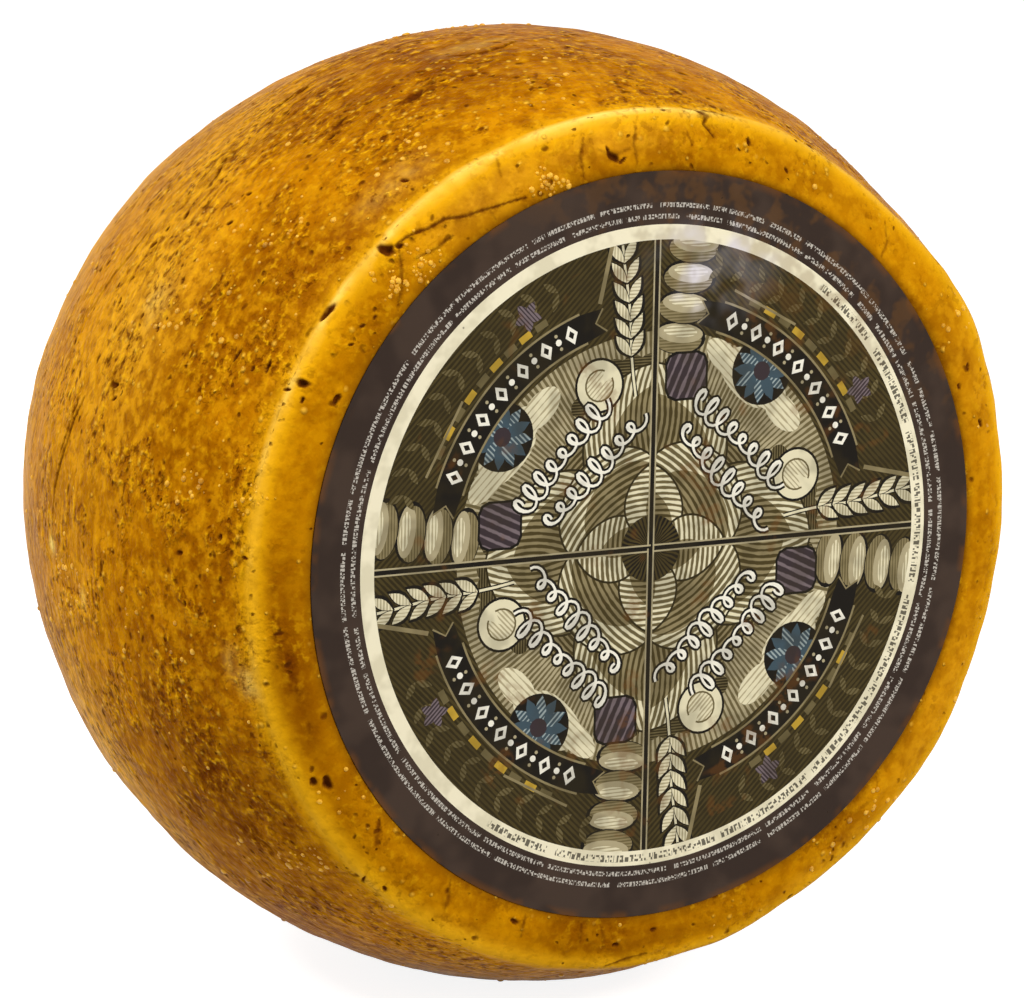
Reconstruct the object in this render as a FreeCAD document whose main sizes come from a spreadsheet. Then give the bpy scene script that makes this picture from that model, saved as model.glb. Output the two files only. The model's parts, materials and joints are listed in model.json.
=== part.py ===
import FreeCAD, Part
import os
import Sketcher

# An aged cow's milk cheese: a barrel-sided wheel with a round paper label on one face.
# Millimetres. The wheel stands on its side on a small flat, with its axis along Y and its
# labelled face towards -Y. +Z is up and the origin is the middle of that flat.

SIZES = [
    ("thickness", 150.0, "face to face, along the axis"),
    ("rim_radius", 115.0, "axis to the rim, where each face meets the side"),
    ("belly_bulge", 15.7, "how far the side swells out past the rims"),
    ("crown_height", 5.0, "how far each rim lies behind its face"),
    ("rim_round", 6.0, "rounding along each rim"),
    ("wander", 0.8, "how far the rims sit off the middle of the belly"),
    ("wander_turn", 90.0, "degrees that the centre swings from belly to rim"),
    ("rest_depth", 1.0, "depth of the flat that the wheel stands on"),
    ("label_margin", 15.0, "bare rind between the label and the rim"),
    ("label_border", 1.5, "flat part of a face beyond the label's edge"),
    ("label_thickness", 0.3, "paper with its clear coat"),
    ("label_sink", 0.2, "depth of the seat that the paper is pressed into"),
    ("label_clearance", 0.1, "gap round the label in its seat"),
]

SECTION_COUNT = 7  # rings that the barrel side is lofted through, rim to rim

# Pits in the crown of the labelled face: clock angle from +X towards +Z in degrees,
# distance in from the rim, and width across.
PITS = [
    (131.0, 2.3, 4.2),
    (152.5, 1.6, 3.2),
    (152.5, 8.5, 3.4),
    (-151.0, 5.9, 3.0),
    (96.5, 10.0, 3.2),
]

# Sizes that follow from the ones above.
BELLY_RADIUS = "(sizes.rim_radius + sizes.belly_bulge)"
LABEL_RADIUS = "(sizes.rim_radius - sizes.label_margin)"
FACE_RADIUS = "(sizes.rim_radius - sizes.label_margin + sizes.label_border)"
FACE_PLANE = "(sizes.thickness / 2)"
RIM_PLANE = "(sizes.thickness / 2 - sizes.crown_height)"
AXIS_HEIGHT = "(sizes.rim_radius + sizes.belly_bulge - sizes.rest_depth)"

ORIGIN = FreeCAD.Vector(0, 0, 0)
NORMAL = FreeCAD.Vector(0, 0, 1)
TOLERANCE = 0.01  # two points or planes closer than this are the same

doc = FreeCAD.newDocument("aged_cheese")


def make_sheet():
    """The driving sizes, one named cell each."""
    sheet = doc.addObject("Spreadsheet::Sheet", "sizes")
    for row, (alias, value, note) in enumerate(SIZES, start=1):
        sheet.set(f"A{row}", alias)
        sheet.set(f"B{row}", str(value))
        sheet.set(f"C{row}", note)
        sheet.setAlias(f"B{row}", alias)
    doc.recompute()
    return sheet


sizes = make_sheet()


def number(text):
    """The present value of a size or a formula."""
    return float(sizes.evalExpression(text))


def new_body(label):
    body = doc.addObject("PartDesign::Body", label)
    body.Label = label
    return body


def place_on(feature, body, role, offset):
    """Attach a feature to one of its body's origin planes, moved by three formulas."""
    plane = next(item for item in body.Origin.OriginFeatures if item.Role == role)
    feature.AttachmentSupport = (plane, [""])
    feature.MapMode = "FlatFace"
    for direction, text in zip("xyz", offset):
        feature.setExpression(f"AttachmentOffset.Base.{direction}", text)


def circle_sketch(body, name, role, offset, radius):
    """A sketch of one circle about its own origin."""
    sketch = body.newObject("Sketcher::SketchObject", name)
    place_on(sketch, body, role, offset)
    circle = sketch.addGeometry(Part.Circle(ORIGIN, NORMAL, number(radius)))
    sketch.addConstraint(Sketcher.Constraint("Coincident", circle, 3, -1, 1))
    size = sketch.addConstraint(Sketcher.Constraint("Radius", circle, number(radius)))
    sketch.setExpression(f"Constraints[{size}]", radius)
    return sketch


def centre_at(reach):
    """Where the axis passes, in X and Z, at a share of the way from belly (0) to rim (1 or -1).

    The centres swing on a slow curl, so the rims sit a little off the belly's middle.
    """
    across = f"sizes.wander * sin({reach} * sizes.wander_turn)"
    up = f"{AXIS_HEIGHT} + sizes.wander * (1 - cos({reach} * sizes.wander_turn))"
    return across, up


# --- the wheel ---


def add_barrel(body):
    """The swelling side: a loft through rings whose radius falls off from belly to rim."""
    rings = []
    for index in range(SECTION_COUNT):
        reach = round(1 - 2 * index / (SECTION_COUNT - 1), 6)
        across, up = centre_at(reach)
        radius = f"{BELLY_RADIUS} - sizes.belly_bulge * ({reach})^2"
        offset = (across, up, f"{reach} * {RIM_PLANE}")
        rings.append(circle_sketch(body, f"barrel_ring_{index + 1}", "XZ_Plane", offset, radius))
    barrel = body.newObject("PartDesign::AdditiveLoft", "barrel")
    barrel.Profile = rings[0]
    barrel.Sections = rings[1:]
    barrel.Ruled = False
    return barrel


def add_crown(body, name, side):
    """A face with its crowned edge, turned about the rim's centre.

    side is 1 for the labelled face and -1 for the back. The edge is an arc that leaves
    the flat of the face smoothly and falls to the rim.
    """
    across, up = centre_at(side)
    sketch = body.newObject("Sketcher::SketchObject", name + "_profile")
    place_on(sketch, body, "YZ_Plane", (f"{-side} * {RIM_PLANE}", up, across))
    face = -side * number("sizes.crown_height")
    flat = number(FACE_RADIUS)
    rim = number("sizes.rim_radius")
    arc_radius = ((rim - flat) ** 2 + face ** 2) / (2 * abs(face))
    hub = FreeCAD.Vector(0, 0, 0)
    rim_point = FreeCAD.Vector(0, rim, 0)
    flat_point = FreeCAD.Vector(face, flat, 0)
    middle = FreeCAD.Vector(face + side * arc_radius, flat, 0)
    half_way = (rim_point - middle) + (flat_point - middle)
    half_way.normalize()
    arc = Part.Arc(rim_point, middle + half_way * arc_radius, flat_point)
    back_line = sketch.addGeometry(Part.LineSegment(hub, rim_point))
    crown_arc = sketch.addGeometry(arc)
    flat_line = sketch.addGeometry(Part.LineSegment(flat_point, FreeCAD.Vector(face, 0, 0)))
    hub_line = sketch.addGeometry(Part.LineSegment(FreeCAD.Vector(face, 0, 0), hub))
    arc_start, arc_end = arc_ends(sketch, crown_arc, rim_point)
    sketch.addConstraint(Sketcher.Constraint("Coincident", back_line, 1, -1, 1))
    sketch.addConstraint(Sketcher.Constraint("Coincident", back_line, 2, crown_arc, arc_start))
    sketch.addConstraint(Sketcher.Constraint("Tangent", crown_arc, arc_end, flat_line, 1))
    sketch.addConstraint(Sketcher.Constraint("Coincident", flat_line, 2, hub_line, 1))
    sketch.addConstraint(Sketcher.Constraint("Coincident", hub_line, 2, back_line, 1))
    sketch.addConstraint(Sketcher.Constraint("Vertical", back_line))
    sketch.addConstraint(Sketcher.Constraint("Vertical", flat_line))
    sketch.addConstraint(Sketcher.Constraint("Horizontal", hub_line))
    lengths = [
        (back_line, rim, "sizes.rim_radius"),
        (flat_line, flat, FACE_RADIUS),
        (hub_line, abs(face), "sizes.crown_height"),
    ]
    for line, length, text in lengths:
        size = sketch.addConstraint(Sketcher.Constraint("Distance", line, length))
        sketch.setExpression(f"Constraints[{size}]", text)
    crown = body.newObject("PartDesign::Revolution", name)
    crown.Profile = sketch
    crown.ReferenceAxis = (sketch, ["H_Axis"])
    crown.Angle = 360
    return crown


def arc_ends(sketch, arc, start):
    """The sketcher's numbers for an arc's end at a given point and for its other end."""
    if sketch.getPoint(arc, 1).distanceToPoint(start) < TOLERANCE:
        return 1, 2
    return 2, 1


def round_rims(body, shaped):
    """Round both rims, where the crowns meet the side."""
    doc.recompute()
    rim_plane = number(RIM_PLANE)
    rims = []
    for index, edge in enumerate(shaped.Shape.Edges, start=1):
        box = edge.BoundBox
        level = box.YLength < TOLERANCE
        if level and abs(abs(box.Center.y) - rim_plane) < TOLERANCE:
            rims.append(f"Edge{index}")
    rounding = body.newObject("PartDesign::Fillet", "rim_rounding")
    rounding.Base = (shaped, rims)
    rounding.setExpression("Radius", "sizes.rim_round")
    return rounding


def cut_rest_flat(body):
    """The small flat that the wheel stands on: all that lies below the ground is cut off."""
    sketch = circle_sketch(body, "ground", "XY_Plane", ("0", "0", "0"), "sizes.rim_radius")
    flat = body.newObject("PartDesign::Pocket", "rest_flat")
    flat.Profile = sketch
    flat.Type = "ThroughAll"
    return flat


def cut_label_seat(body):
    """The shallow seat that the label is pressed into."""
    across, up = centre_at(1)
    radius = f"{LABEL_RADIUS} + sizes.label_clearance"
    sketch = circle_sketch(body, "seat_edge", "XZ_Plane", (across, up, FACE_PLANE), radius)
    seat = body.newObject("PartDesign::Pocket", "label_seat")
    seat.Profile = sketch
    seat.setExpression("Length", "sizes.label_sink")
    return seat


def cut_pit(body, name, clock, inset, width):
    """A round pit in the labelled face's crown, as deep as half its width."""
    across, up = centre_at(1)
    span = "(sizes.label_margin - sizes.label_border)"
    arc = f"(({span}^2 + sizes.crown_height^2) / (2 * sizes.crown_height))"
    rise = f"sizes.crown_height - {arc} + sqrt({arc}^2 - ({span} - {inset})^2)"
    reach = f"(sizes.rim_radius - {inset})"
    offset = (
        f"{across} + {reach} * cos({clock})",
        f"{up} + {reach} * sin({clock})",
        f"{RIM_PLANE} + {rise}",
    )
    pit = body.newObject("PartDesign::SubtractiveSphere", name)
    pit.Radius = width / 2
    place_on(pit, body, "XZ_Plane", offset)
    return pit


def make_wheel():
    body = new_body("cheese_wheel")
    add_barrel(body)
    add_crown(body, "front_crown", 1)
    shaped = add_crown(body, "back_crown", -1)
    round_rims(body, shaped)
    pockets = [cut_rest_flat(body), cut_label_seat(body)]
    pits = []
    for index, (clock, inset, width) in enumerate(PITS, start=1):
        pits.append(cut_pit(body, f"pit_{index}", clock, inset, width))
    doc.recompute()
    for pocket in pockets:
        if pocket.Shape.Volume >= pocket.BaseFeature.Shape.Volume:
            raise RuntimeError(f"{pocket.Name} cuts nothing")
    for pit in pits:
        # A pit is smaller than the error of so large a volume, so its new face is looked for.
        if len(pit.Shape.Faces) <= len(pit.BaseFeature.Shape.Faces):
            raise RuntimeError(f"{pit.Name} cuts nothing")
    return body


# --- the label ---


def make_label():
    """A paper disc, modelled about its own centre and placed on the floor of its seat."""
    body = new_body("face_label")
    sketch = circle_sketch(body, "label_edge", "XZ_Plane", ("0", "0", "0"), LABEL_RADIUS)
    disc = body.newObject("PartDesign::Pad", "label_disc")
    disc.Profile = sketch
    disc.setExpression("Length", "sizes.label_thickness")
    across, up = centre_at(1)
    body.setExpression("Placement.Base.x", across)
    body.setExpression("Placement.Base.y", f"sizes.label_sink - {FACE_PLANE}")
    body.setExpression("Placement.Base.z", up)
    doc.recompute()
    return body


def check(parts):
    """Stop if any object failed or a part has no valid solid."""
    for item in doc.Objects:
        if "Invalid" in item.State or "Error" in item.State:
            raise RuntimeError(f"{item.Name} failed: {item.State}")
    for part in parts:
        if part.Shape.isNull() or not part.Shape.isValid() or len(part.Shape.Solids) != 1:
            raise RuntimeError(f"{part.Label} is not one valid solid")


parts = [make_wheel(), make_label()]
doc.recompute()
check(parts)
os.makedirs("parts", exist_ok=True)
for part in parts:
    part.Shape.exportStep(f"parts/{part.Label}.step")
    box = part.Shape.optimalBoundingBox(False, False)
    print(part.Label, [round(length, 2) for length in (box.XLength, box.YLength, box.ZLength)],
          f"{part.Shape.Volume / 1e6:.4f} litres")
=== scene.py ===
import json
import math

import bmesh
import bpy
import numpy as np
from mathutils import Matrix, Vector, noise
from mathutils.geometry import delaunay_2d_cdt
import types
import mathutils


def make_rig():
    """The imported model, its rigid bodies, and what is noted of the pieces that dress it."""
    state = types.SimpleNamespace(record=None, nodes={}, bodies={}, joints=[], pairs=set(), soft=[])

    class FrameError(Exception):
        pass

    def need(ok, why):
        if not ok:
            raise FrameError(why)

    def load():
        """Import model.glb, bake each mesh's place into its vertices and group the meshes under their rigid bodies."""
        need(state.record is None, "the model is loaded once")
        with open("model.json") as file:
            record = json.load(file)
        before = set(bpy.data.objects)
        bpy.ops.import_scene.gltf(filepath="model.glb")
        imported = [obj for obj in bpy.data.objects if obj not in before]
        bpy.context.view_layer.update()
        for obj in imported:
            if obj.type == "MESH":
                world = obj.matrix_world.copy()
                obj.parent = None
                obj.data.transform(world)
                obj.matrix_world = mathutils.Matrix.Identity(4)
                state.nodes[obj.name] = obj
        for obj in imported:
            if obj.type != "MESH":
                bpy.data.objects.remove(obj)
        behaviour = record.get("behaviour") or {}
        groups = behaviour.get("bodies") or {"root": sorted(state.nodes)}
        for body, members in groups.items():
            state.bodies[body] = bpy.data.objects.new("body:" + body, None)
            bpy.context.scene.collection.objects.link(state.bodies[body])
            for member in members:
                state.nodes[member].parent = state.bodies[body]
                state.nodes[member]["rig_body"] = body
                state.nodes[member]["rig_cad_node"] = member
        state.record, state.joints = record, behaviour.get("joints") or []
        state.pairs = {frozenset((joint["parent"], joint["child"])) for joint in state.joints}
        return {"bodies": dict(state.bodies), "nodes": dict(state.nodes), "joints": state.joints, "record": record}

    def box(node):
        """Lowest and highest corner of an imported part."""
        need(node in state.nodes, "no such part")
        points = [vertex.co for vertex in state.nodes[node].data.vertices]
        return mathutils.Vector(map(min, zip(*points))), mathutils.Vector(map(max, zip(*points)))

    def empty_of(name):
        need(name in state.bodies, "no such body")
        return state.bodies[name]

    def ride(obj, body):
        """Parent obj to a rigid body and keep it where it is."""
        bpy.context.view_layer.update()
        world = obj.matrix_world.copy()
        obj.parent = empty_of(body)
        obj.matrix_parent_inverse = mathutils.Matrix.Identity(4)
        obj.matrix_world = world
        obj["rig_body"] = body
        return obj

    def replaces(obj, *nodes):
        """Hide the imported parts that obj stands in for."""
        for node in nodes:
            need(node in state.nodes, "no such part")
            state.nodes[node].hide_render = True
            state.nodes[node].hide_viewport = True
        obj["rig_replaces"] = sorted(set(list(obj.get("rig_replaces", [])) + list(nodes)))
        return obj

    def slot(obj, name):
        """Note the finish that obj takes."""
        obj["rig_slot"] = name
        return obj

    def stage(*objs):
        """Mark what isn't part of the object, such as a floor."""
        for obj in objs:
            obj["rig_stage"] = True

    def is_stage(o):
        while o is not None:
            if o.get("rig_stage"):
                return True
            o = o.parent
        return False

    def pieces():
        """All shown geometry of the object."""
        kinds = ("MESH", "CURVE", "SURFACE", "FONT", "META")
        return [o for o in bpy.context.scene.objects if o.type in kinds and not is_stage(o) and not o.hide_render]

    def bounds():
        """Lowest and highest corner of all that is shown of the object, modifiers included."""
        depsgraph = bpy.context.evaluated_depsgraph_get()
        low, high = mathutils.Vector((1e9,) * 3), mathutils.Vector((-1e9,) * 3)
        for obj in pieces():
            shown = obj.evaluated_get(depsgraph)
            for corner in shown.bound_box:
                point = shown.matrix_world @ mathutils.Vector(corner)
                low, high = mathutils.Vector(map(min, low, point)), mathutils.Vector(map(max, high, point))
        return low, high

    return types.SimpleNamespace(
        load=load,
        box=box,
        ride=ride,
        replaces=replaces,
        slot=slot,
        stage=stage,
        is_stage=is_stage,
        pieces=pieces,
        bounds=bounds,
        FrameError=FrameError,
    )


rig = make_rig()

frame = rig.load()
cadLow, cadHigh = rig.bounds()
millimetre = 0.001

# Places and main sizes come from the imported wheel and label, in metres.
wheelLow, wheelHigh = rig.box("cheese_wheel")
labelLow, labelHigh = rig.box("face_label")
bellyRadius = (wheelHigh.x - wheelLow.x) / 2
axisHeight = wheelHigh.z - bellyRadius
halfThickness = (wheelHigh.y - wheelLow.y) / 2
labelRadius = (labelHigh.x - labelLow.x) / 2
labelCentre = Vector(((labelLow.x + labelHigh.x) / 2, labelLow.y, (labelLow.z + labelHigh.z) / 2))


# Link a value that comes from a node, or set a plain one.
def feed(socket, value):
    if isinstance(value, bpy.types.NodeSocket):
        socket.id_data.links.new(value, socket)
    elif socket.type == "RGBA" and len(value) == 3:
        socket.default_value = (*value, 1)
    else:
        socket.default_value = value


def put(tree, kind, inputs=None, **settings):
    node = tree.nodes.new(kind)
    for key, value in settings.items():
        setattr(node, key, value)
    for key, value in (inputs or {}).items():
        feed(node.inputs[key], value)
    return node


# Maths on values, of which one at least comes from a node. The node goes into that one's tree.
def calc(operation, first, second=0.0, third=0.0, clamp=False):
    values = first, second, third
    tree = next(value.id_data for value in values if isinstance(value, bpy.types.NodeSocket))
    node = put(tree, "ShaderNodeMath", operation=operation, use_clamp=clamp)
    for socket, value in zip(node.inputs, values):
        feed(socket, value)
    return node.outputs[0]


def times(first, second, clamp=False):
    return calc("MULTIPLY", first, second, clamp=clamp)


def timesPlus(first, second, third, clamp=False):
    return calc("MULTIPLY_ADD", first, second, third, clamp)


def minus(first, second):
    return calc("SUBTRACT", first, second)


# A soft step from one value to another.
def remap(value, low, high, toLow=0.0, toHigh=1.0):
    node = put(value.id_data, "ShaderNodeMapRange", interpolation_type="SMOOTHSTEP")
    for socket, part in zip(node.inputs, (value, low, high, toLow, toHigh)):
        feed(socket, part)
    return node.outputs[0]


def mixColour(share, first, second):
    node = put(share.id_data, "ShaderNodeMix", data_type="RGBA", clamp_factor=True)
    for place, value in ((0, share), (6, first), (7, second)):
        feed(node.inputs[place], value)
    return node.outputs[2]


# A colour for the shaders from its usual 0 to 255 values.
def paint(red, green, blue):
    return tuple((v / 255 / 12.92) if v < 11 else ((v / 255 + 0.055) / 1.055) ** 2.4 for v in (red, green, blue))


# The colour under a layer of paint, where the mask is high. The layer ends with how much it covers.
def tint(colour, mask, layer):
    return mixColour(times(mask, layer[3]), colour, paint(*layer[:3]))


def cloud(place, scale, detail=3.0, roughness=0.55):
    return put(place.id_data, "ShaderNodeTexNoise", {"Vector": place, "Scale": scale, "Detail": detail,
                                                     "Roughness": roughness}).outputs["Fac"]


def attribute(tree, name, output="Fac"):
    return put(tree, "ShaderNodeAttribute", attribute_name=name).outputs[output]


def moveVector(operation, first, inputs):
    return put(first.id_data, "ShaderNodeVectorMath", {0: first, **inputs}, operation=operation).outputs[0]


# A shader node group with named, preset inputs. Returns it with its inner sockets.
def newGroup(name, inputs, outputs):
    tree = bpy.data.node_groups.new(name, "ShaderNodeTree")
    for label, value in inputs.items():
        kind = "NodeSocketVector" if isinstance(value, tuple) else "NodeSocketFloat"
        tree.interface.new_socket(label, in_out="INPUT", socket_type=kind).default_value = value
    for label, kind in outputs.items():
        tree.interface.new_socket(label, in_out="OUTPUT", socket_type=kind)
    return tree, tree.nodes.new("NodeGroupInput").outputs, tree.nodes.new("NodeGroupOutput").inputs


def useGroup(tree, group, **inputs):
    return put(tree, "ShaderNodeGroup", inputs, node_tree=group).outputs


def newMaterial(name):
    material = bpy.data.materials.new(name)
    material.use_nodes = True
    material.node_tree.nodes.clear()
    return material, material.node_tree


# The coated surface. Relief is how far its height reaches in metres, and how strongly it shows.
def finishMaterial(tree, colour, roughness, shine, height, relief):
    bump = put(tree, "ShaderNodeBump", {"Height": height, "Distance": relief[0], "Strength": relief[1]})
    shader = put(tree, "ShaderNodeBsdfPrincipled", {"Base Color": colour, "Roughness": roughness,
                                                    "Specular IOR Level": shine, "Normal": bump.outputs[0]})
    put(tree, "ShaderNodeOutputMaterial", {"Surface": shader.outputs[0]})


def newObject(name, data, *materials):
    piece = bpy.data.objects.new(name, data)
    bpy.context.scene.collection.objects.link(piece)
    for material in materials:
        data.materials.append(material)
    return piece


def meshFrom(builder, name):
    mesh = bpy.data.meshes.new(name)
    builder.to_mesh(mesh)
    builder.free()
    return mesh


def printSize(name, piece):
    print(name, sum(len(face.vertices) - 2 for face in piece.data.polygons), "triangles")


# Soft-edged patches.
def makePatchGroup():
    tree, given, made = newGroup("patches", {"Place": (0.0, 0.0, 0.0), "Scale": 50.0, "Low": 0.45, "High": 0.6},
                                 {"Mask": "NodeSocketFloat"})
    value = cloud(given["Place"], given["Scale"], 2.0, 0.6)
    feed(made["Mask"], remap(value, given["Low"], given["High"]))
    return tree


# Scattered specks. Size is a share of the cell and Share is how many cells hold one.
def makeSpeckGroup():
    tree, given, made = newGroup("specks", {"Place": (0.0, 0.0, 0.0), "Scale": 300.0, "Size": 0.3, "Share": 0.3},
                                 {"Mask": "NodeSocketFloat"})
    cell = put(tree, "ShaderNodeTexVoronoi", {"Vector": given["Place"], "Scale": given["Scale"], "Randomness": 1.0})
    chance = put(tree, "ShaderNodeSeparateColor", {"Color": cell.outputs["Color"]}).outputs
    size = times(given["Size"], timesPlus(chance[1], 0.7, 0.45))
    inside = remap(cell.outputs["Distance"], times(size, 0.2), size, 1.0, 0.0)
    feed(made["Mask"], times(inside, calc("LESS_THAN", chance[0], given["Share"])))
    return tree


patches = makePatchGroup()
specks = makeSpeckGroup()


# Patches about so many mm across.
def patchMask(place, size, low, high):
    return useGroup(place.id_data, patches, Place=place, Scale=1000 / size, Low=low, High=high)["Mask"]


# Specks about so many mm apart and so many mm across.
def speckMask(place, spacing, size, share):
    return useGroup(place.id_data, specks, Place=place, Scale=1000 / spacing, Size=size / spacing / 2,
                    Share=share)["Mask"]


# The place moved a little to and fro, so that what is drawn there has uneven edges.
def unevenPlace(place, scale, reach):
    bend = put(place.id_data, "ShaderNodeTexNoise", {"Vector": place, "Scale": scale, "Detail": 0.0})
    middle = moveVector("SUBTRACT", bend.outputs["Color"], {1: (0.5, 0.5, 0.5)})
    return moveVector("ADD", place, {1: moveVector("SCALE", middle, {"Scale": reach * millimetre})})


# Paints of the rind: red, green and blue of 0 to 255, and for a layer how much it covers.
rind = {
    "sideDeep": (154, 91, 0), "sideWarm": (188, 118, 2),
    # the last of these is a painted sheen on the side's far left edge
    "sideBrown": (132, 70, 0, 0.45), "sideGold": (218, 150, 10, 0.5), "limbSheen": (218, 160, 64, 0.5),
    "ringDeep": (152, 90, 0), "ringWarm": (194, 126, 2), "ringGold": (222, 154, 6, 0.35),
    # the ridge layer is a painted highlight, a lighter yellow band along each rim
    "pale": (240, 172, 34, 1.0), "brown": (120, 60, 0, 1.0), "ridge": (244, 180, 18, 0.7),
    # the pale yellow-white paints a highlight along the front rim and painted glints, with milky blooms
    "highlightbloom": (255, 222, 116, 1.0), "edge": (112, 66, 4, 0.7),
    # after the veins: painted shade for the coat's creases and a painted highlight for its tops
    "veins": (104, 50, 0, 0.4), "creaseShade": (104, 48, 0, 0.75), "topHighlight": (240, 178, 16, 0.6),
    "foam": (246, 188, 58, 0.6), "pores": (92, 40, 4, 0.85), "dashes": (92, 44, 2, 0.8),
    "stain": (100, 46, 2, 0.9), "gash": (92, 44, 6, 1.0),
    "stretch": 0.84,                        # of the pattern round the side
    "patchSizes": (44, 13, 4.6, 18),        # in mm: broad, middling, small and crowded patches
    "foamSpecks": (2.7, 2.2), "poreSpecks": (3.0, 2.2), "dashSpecks": (4.2, 2.4),   # apart and across, in mm
    "creaseHeight": 4.6, "veinHeight": -0.5, "foamHeight": 1.2, "poreHeight": -1.3,
}


# Colour and fine relief of the coated rind, for the wheel and for the bubbles on it.
def makeRindGroup():
    masks = {name: 0.0 for name in ("Ring", "Ridge", "Stain", "Edge", "Tone", "HighlightBloom")}
    made = {"Colour": "NodeSocketColor", "Height": "NodeSocketFloat", "Dull": "NodeSocketFloat"}
    tree, given, made = newGroup("rindLook", {"Place": (0.0, 0.0, 0.0), **masks}, made)
    place, stained, tone, ridge = (given[name] for name in ("Place", "Stain", "Tone", "Ridge"))
    axes = put(tree, "ShaderNodeSeparateXYZ", {"Vector": place}).outputs
    # on the side the pattern runs round the wheel, with its seam where it stands
    turned = calc("ARCTAN2", axes[0], minus(axes[2], axisHeight))
    rounded = put(tree, "ShaderNodeCombineXYZ", {"X": times(turned, bellyRadius * rind["stretch"]), "Y": axes[1]})
    drawn = put(tree, "ShaderNodeMix", {0: calc("GREATER_THAN", given["Ring"], 0.5), 4: rounded.outputs[0],
                                        5: place}, data_type="VECTOR").outputs[1]
    sizes = rind["patchSizes"]
    broad = patchMask(place, sizes[0], 0.38, 0.62)
    middle = patchMask(place, sizes[1], 0.38, 0.64)
    small = patchMask(drawn, sizes[2], 0.4, 0.64)
    crowd = patchMask(place, sizes[3], 0.46, 0.58)
    crinkle = cloud(drawn, 420.0, 2.0, 0.55)
    onRing = remap(timesPlus(crinkle, 0.4, given["Ring"]), 0.5, 0.95)
    far = remap(axes[1], 0.02, 0.075)
    # painted sheen: paler along the back half of the left side, where it turns away towards the edge
    limbSheen = times(far, remap(axes[0], 0.0, -0.07))

    side = mixColour(broad, paint(*rind["sideDeep"]), paint(*rind["sideWarm"]))
    for mask, name in ((middle, "sideBrown"), (small, "sideGold"), (limbSheen, "limbSheen")):
        side = tint(side, mask, rind[name])
    ring = mixColour(timesPlus(middle, 0.65, times(broad, 0.35)), paint(*rind["ringDeep"]), paint(*rind["ringWarm"]))
    colour = mixColour(onRing, side, tint(ring, small, rind["ringGold"]))
    # pale and brown follow the tone note: the rind's own tones, and painted light along the bottom of the front rim
    pale = times(tone, timesPlus(small, 0.5, 0.6), clamp=True)
    brown = times(tone, timesPlus(middle, -0.5, -0.6), clamp=True)
    # painted highlight along the front rim, with painted glints and milky blooms
    highlightbloom = times(given["HighlightBloom"], timesPlus(middle, 0.6, 0.4))
    edge = calc("POWER", given["Edge"], 2.0)

    # painted shade in the creases and painted highlight on the tops of the wrinkled coat, fainter on the ring
    creased = times(timesPlus(calc("MAXIMUM", onRing, ridge), -0.55, 1.0),
                    timesPlus(crowd, 0.6, timesPlus(stained, 0.5, 0.4)), clamp=True)
    creased = times(creased, timesPlus(far, -0.5, 1.0))
    veins = remap(calc("ABSOLUTE", minus(cloud(drawn, 270.0, 1.0, 0.5), 0.5)), 0.06, 0.0)
    veins = times(times(veins, remap(crinkle, 0.56, 0.42)), timesPlus(onRing, -0.5, creased), clamp=True)
    creaseShade = times(remap(crinkle, 0.44, 0.34), creased)
    topHighlight = times(remap(crinkle, 0.54, 0.7), creased)

    # crowded little bubbles, pores, and short dashes that run round the side, closer where it is stained
    uneven = unevenPlace(drawn, 500.0, 1.6)
    longer = moveVector("MULTIPLY", uneven, {1: (0.55, 1.0, 1.0)})
    foamShare = times(timesPlus(crowd, 0.5, 0.14), timesPlus(onRing, -0.6, 1.0))
    foam = speckMask(place, *rind["foamSpecks"], foamShare)
    pores = speckMask(uneven, *rind["poreSpecks"], timesPlus(crowd, timesPlus(onRing, -0.25, 0.4), 0.14))
    dashShare = times(timesPlus(crowd, 0.3, timesPlus(stained, 0.4, 0.06)), timesPlus(onRing, -0.9, 1.0))
    dashes = speckMask(longer, *rind["dashSpecks"], dashShare)
    stain = times(stained, remap(crinkle, 0.62, 0.4, 0.2, 1.0))
    # the ridge layer below paints a highlight along each rim
    for mask, name in ((pale, "pale"), (brown, "brown"), (ridge, "ridge"), (highlightbloom, "highlightbloom"), (edge, "edge"),
                       (veins, "veins"), (creaseShade, "creaseShade"), (topHighlight, "topHighlight"), (foam, "foam"), (pores, "pores"),
                       (dashes, "dashes"), (stain, "stain")):
        colour = tint(colour, mask, rind[name])
    feed(made["Colour"], colour)

    holes = calc("MAXIMUM", pores, dashes)
    height = times(crinkle, times(creased, rind["creaseHeight"]))
    for mask, name in ((veins, "veinHeight"), (foam, "foamHeight"), (holes, "poreHeight")):
        height = timesPlus(mask, rind[name], height)
    feed(made["Height"], height)
    feed(made["Dull"], calc("MAXIMUM", stain, holes))
    return tree


rindLook = makeRindGroup()


# The rind's look at every point, from the wheel's own notes on what lies where.
def useRind(tree, place, *names):
    return useGroup(tree, rindLook, Place=place, **{name: attribute(tree, name.lower()) for name in names})


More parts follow.
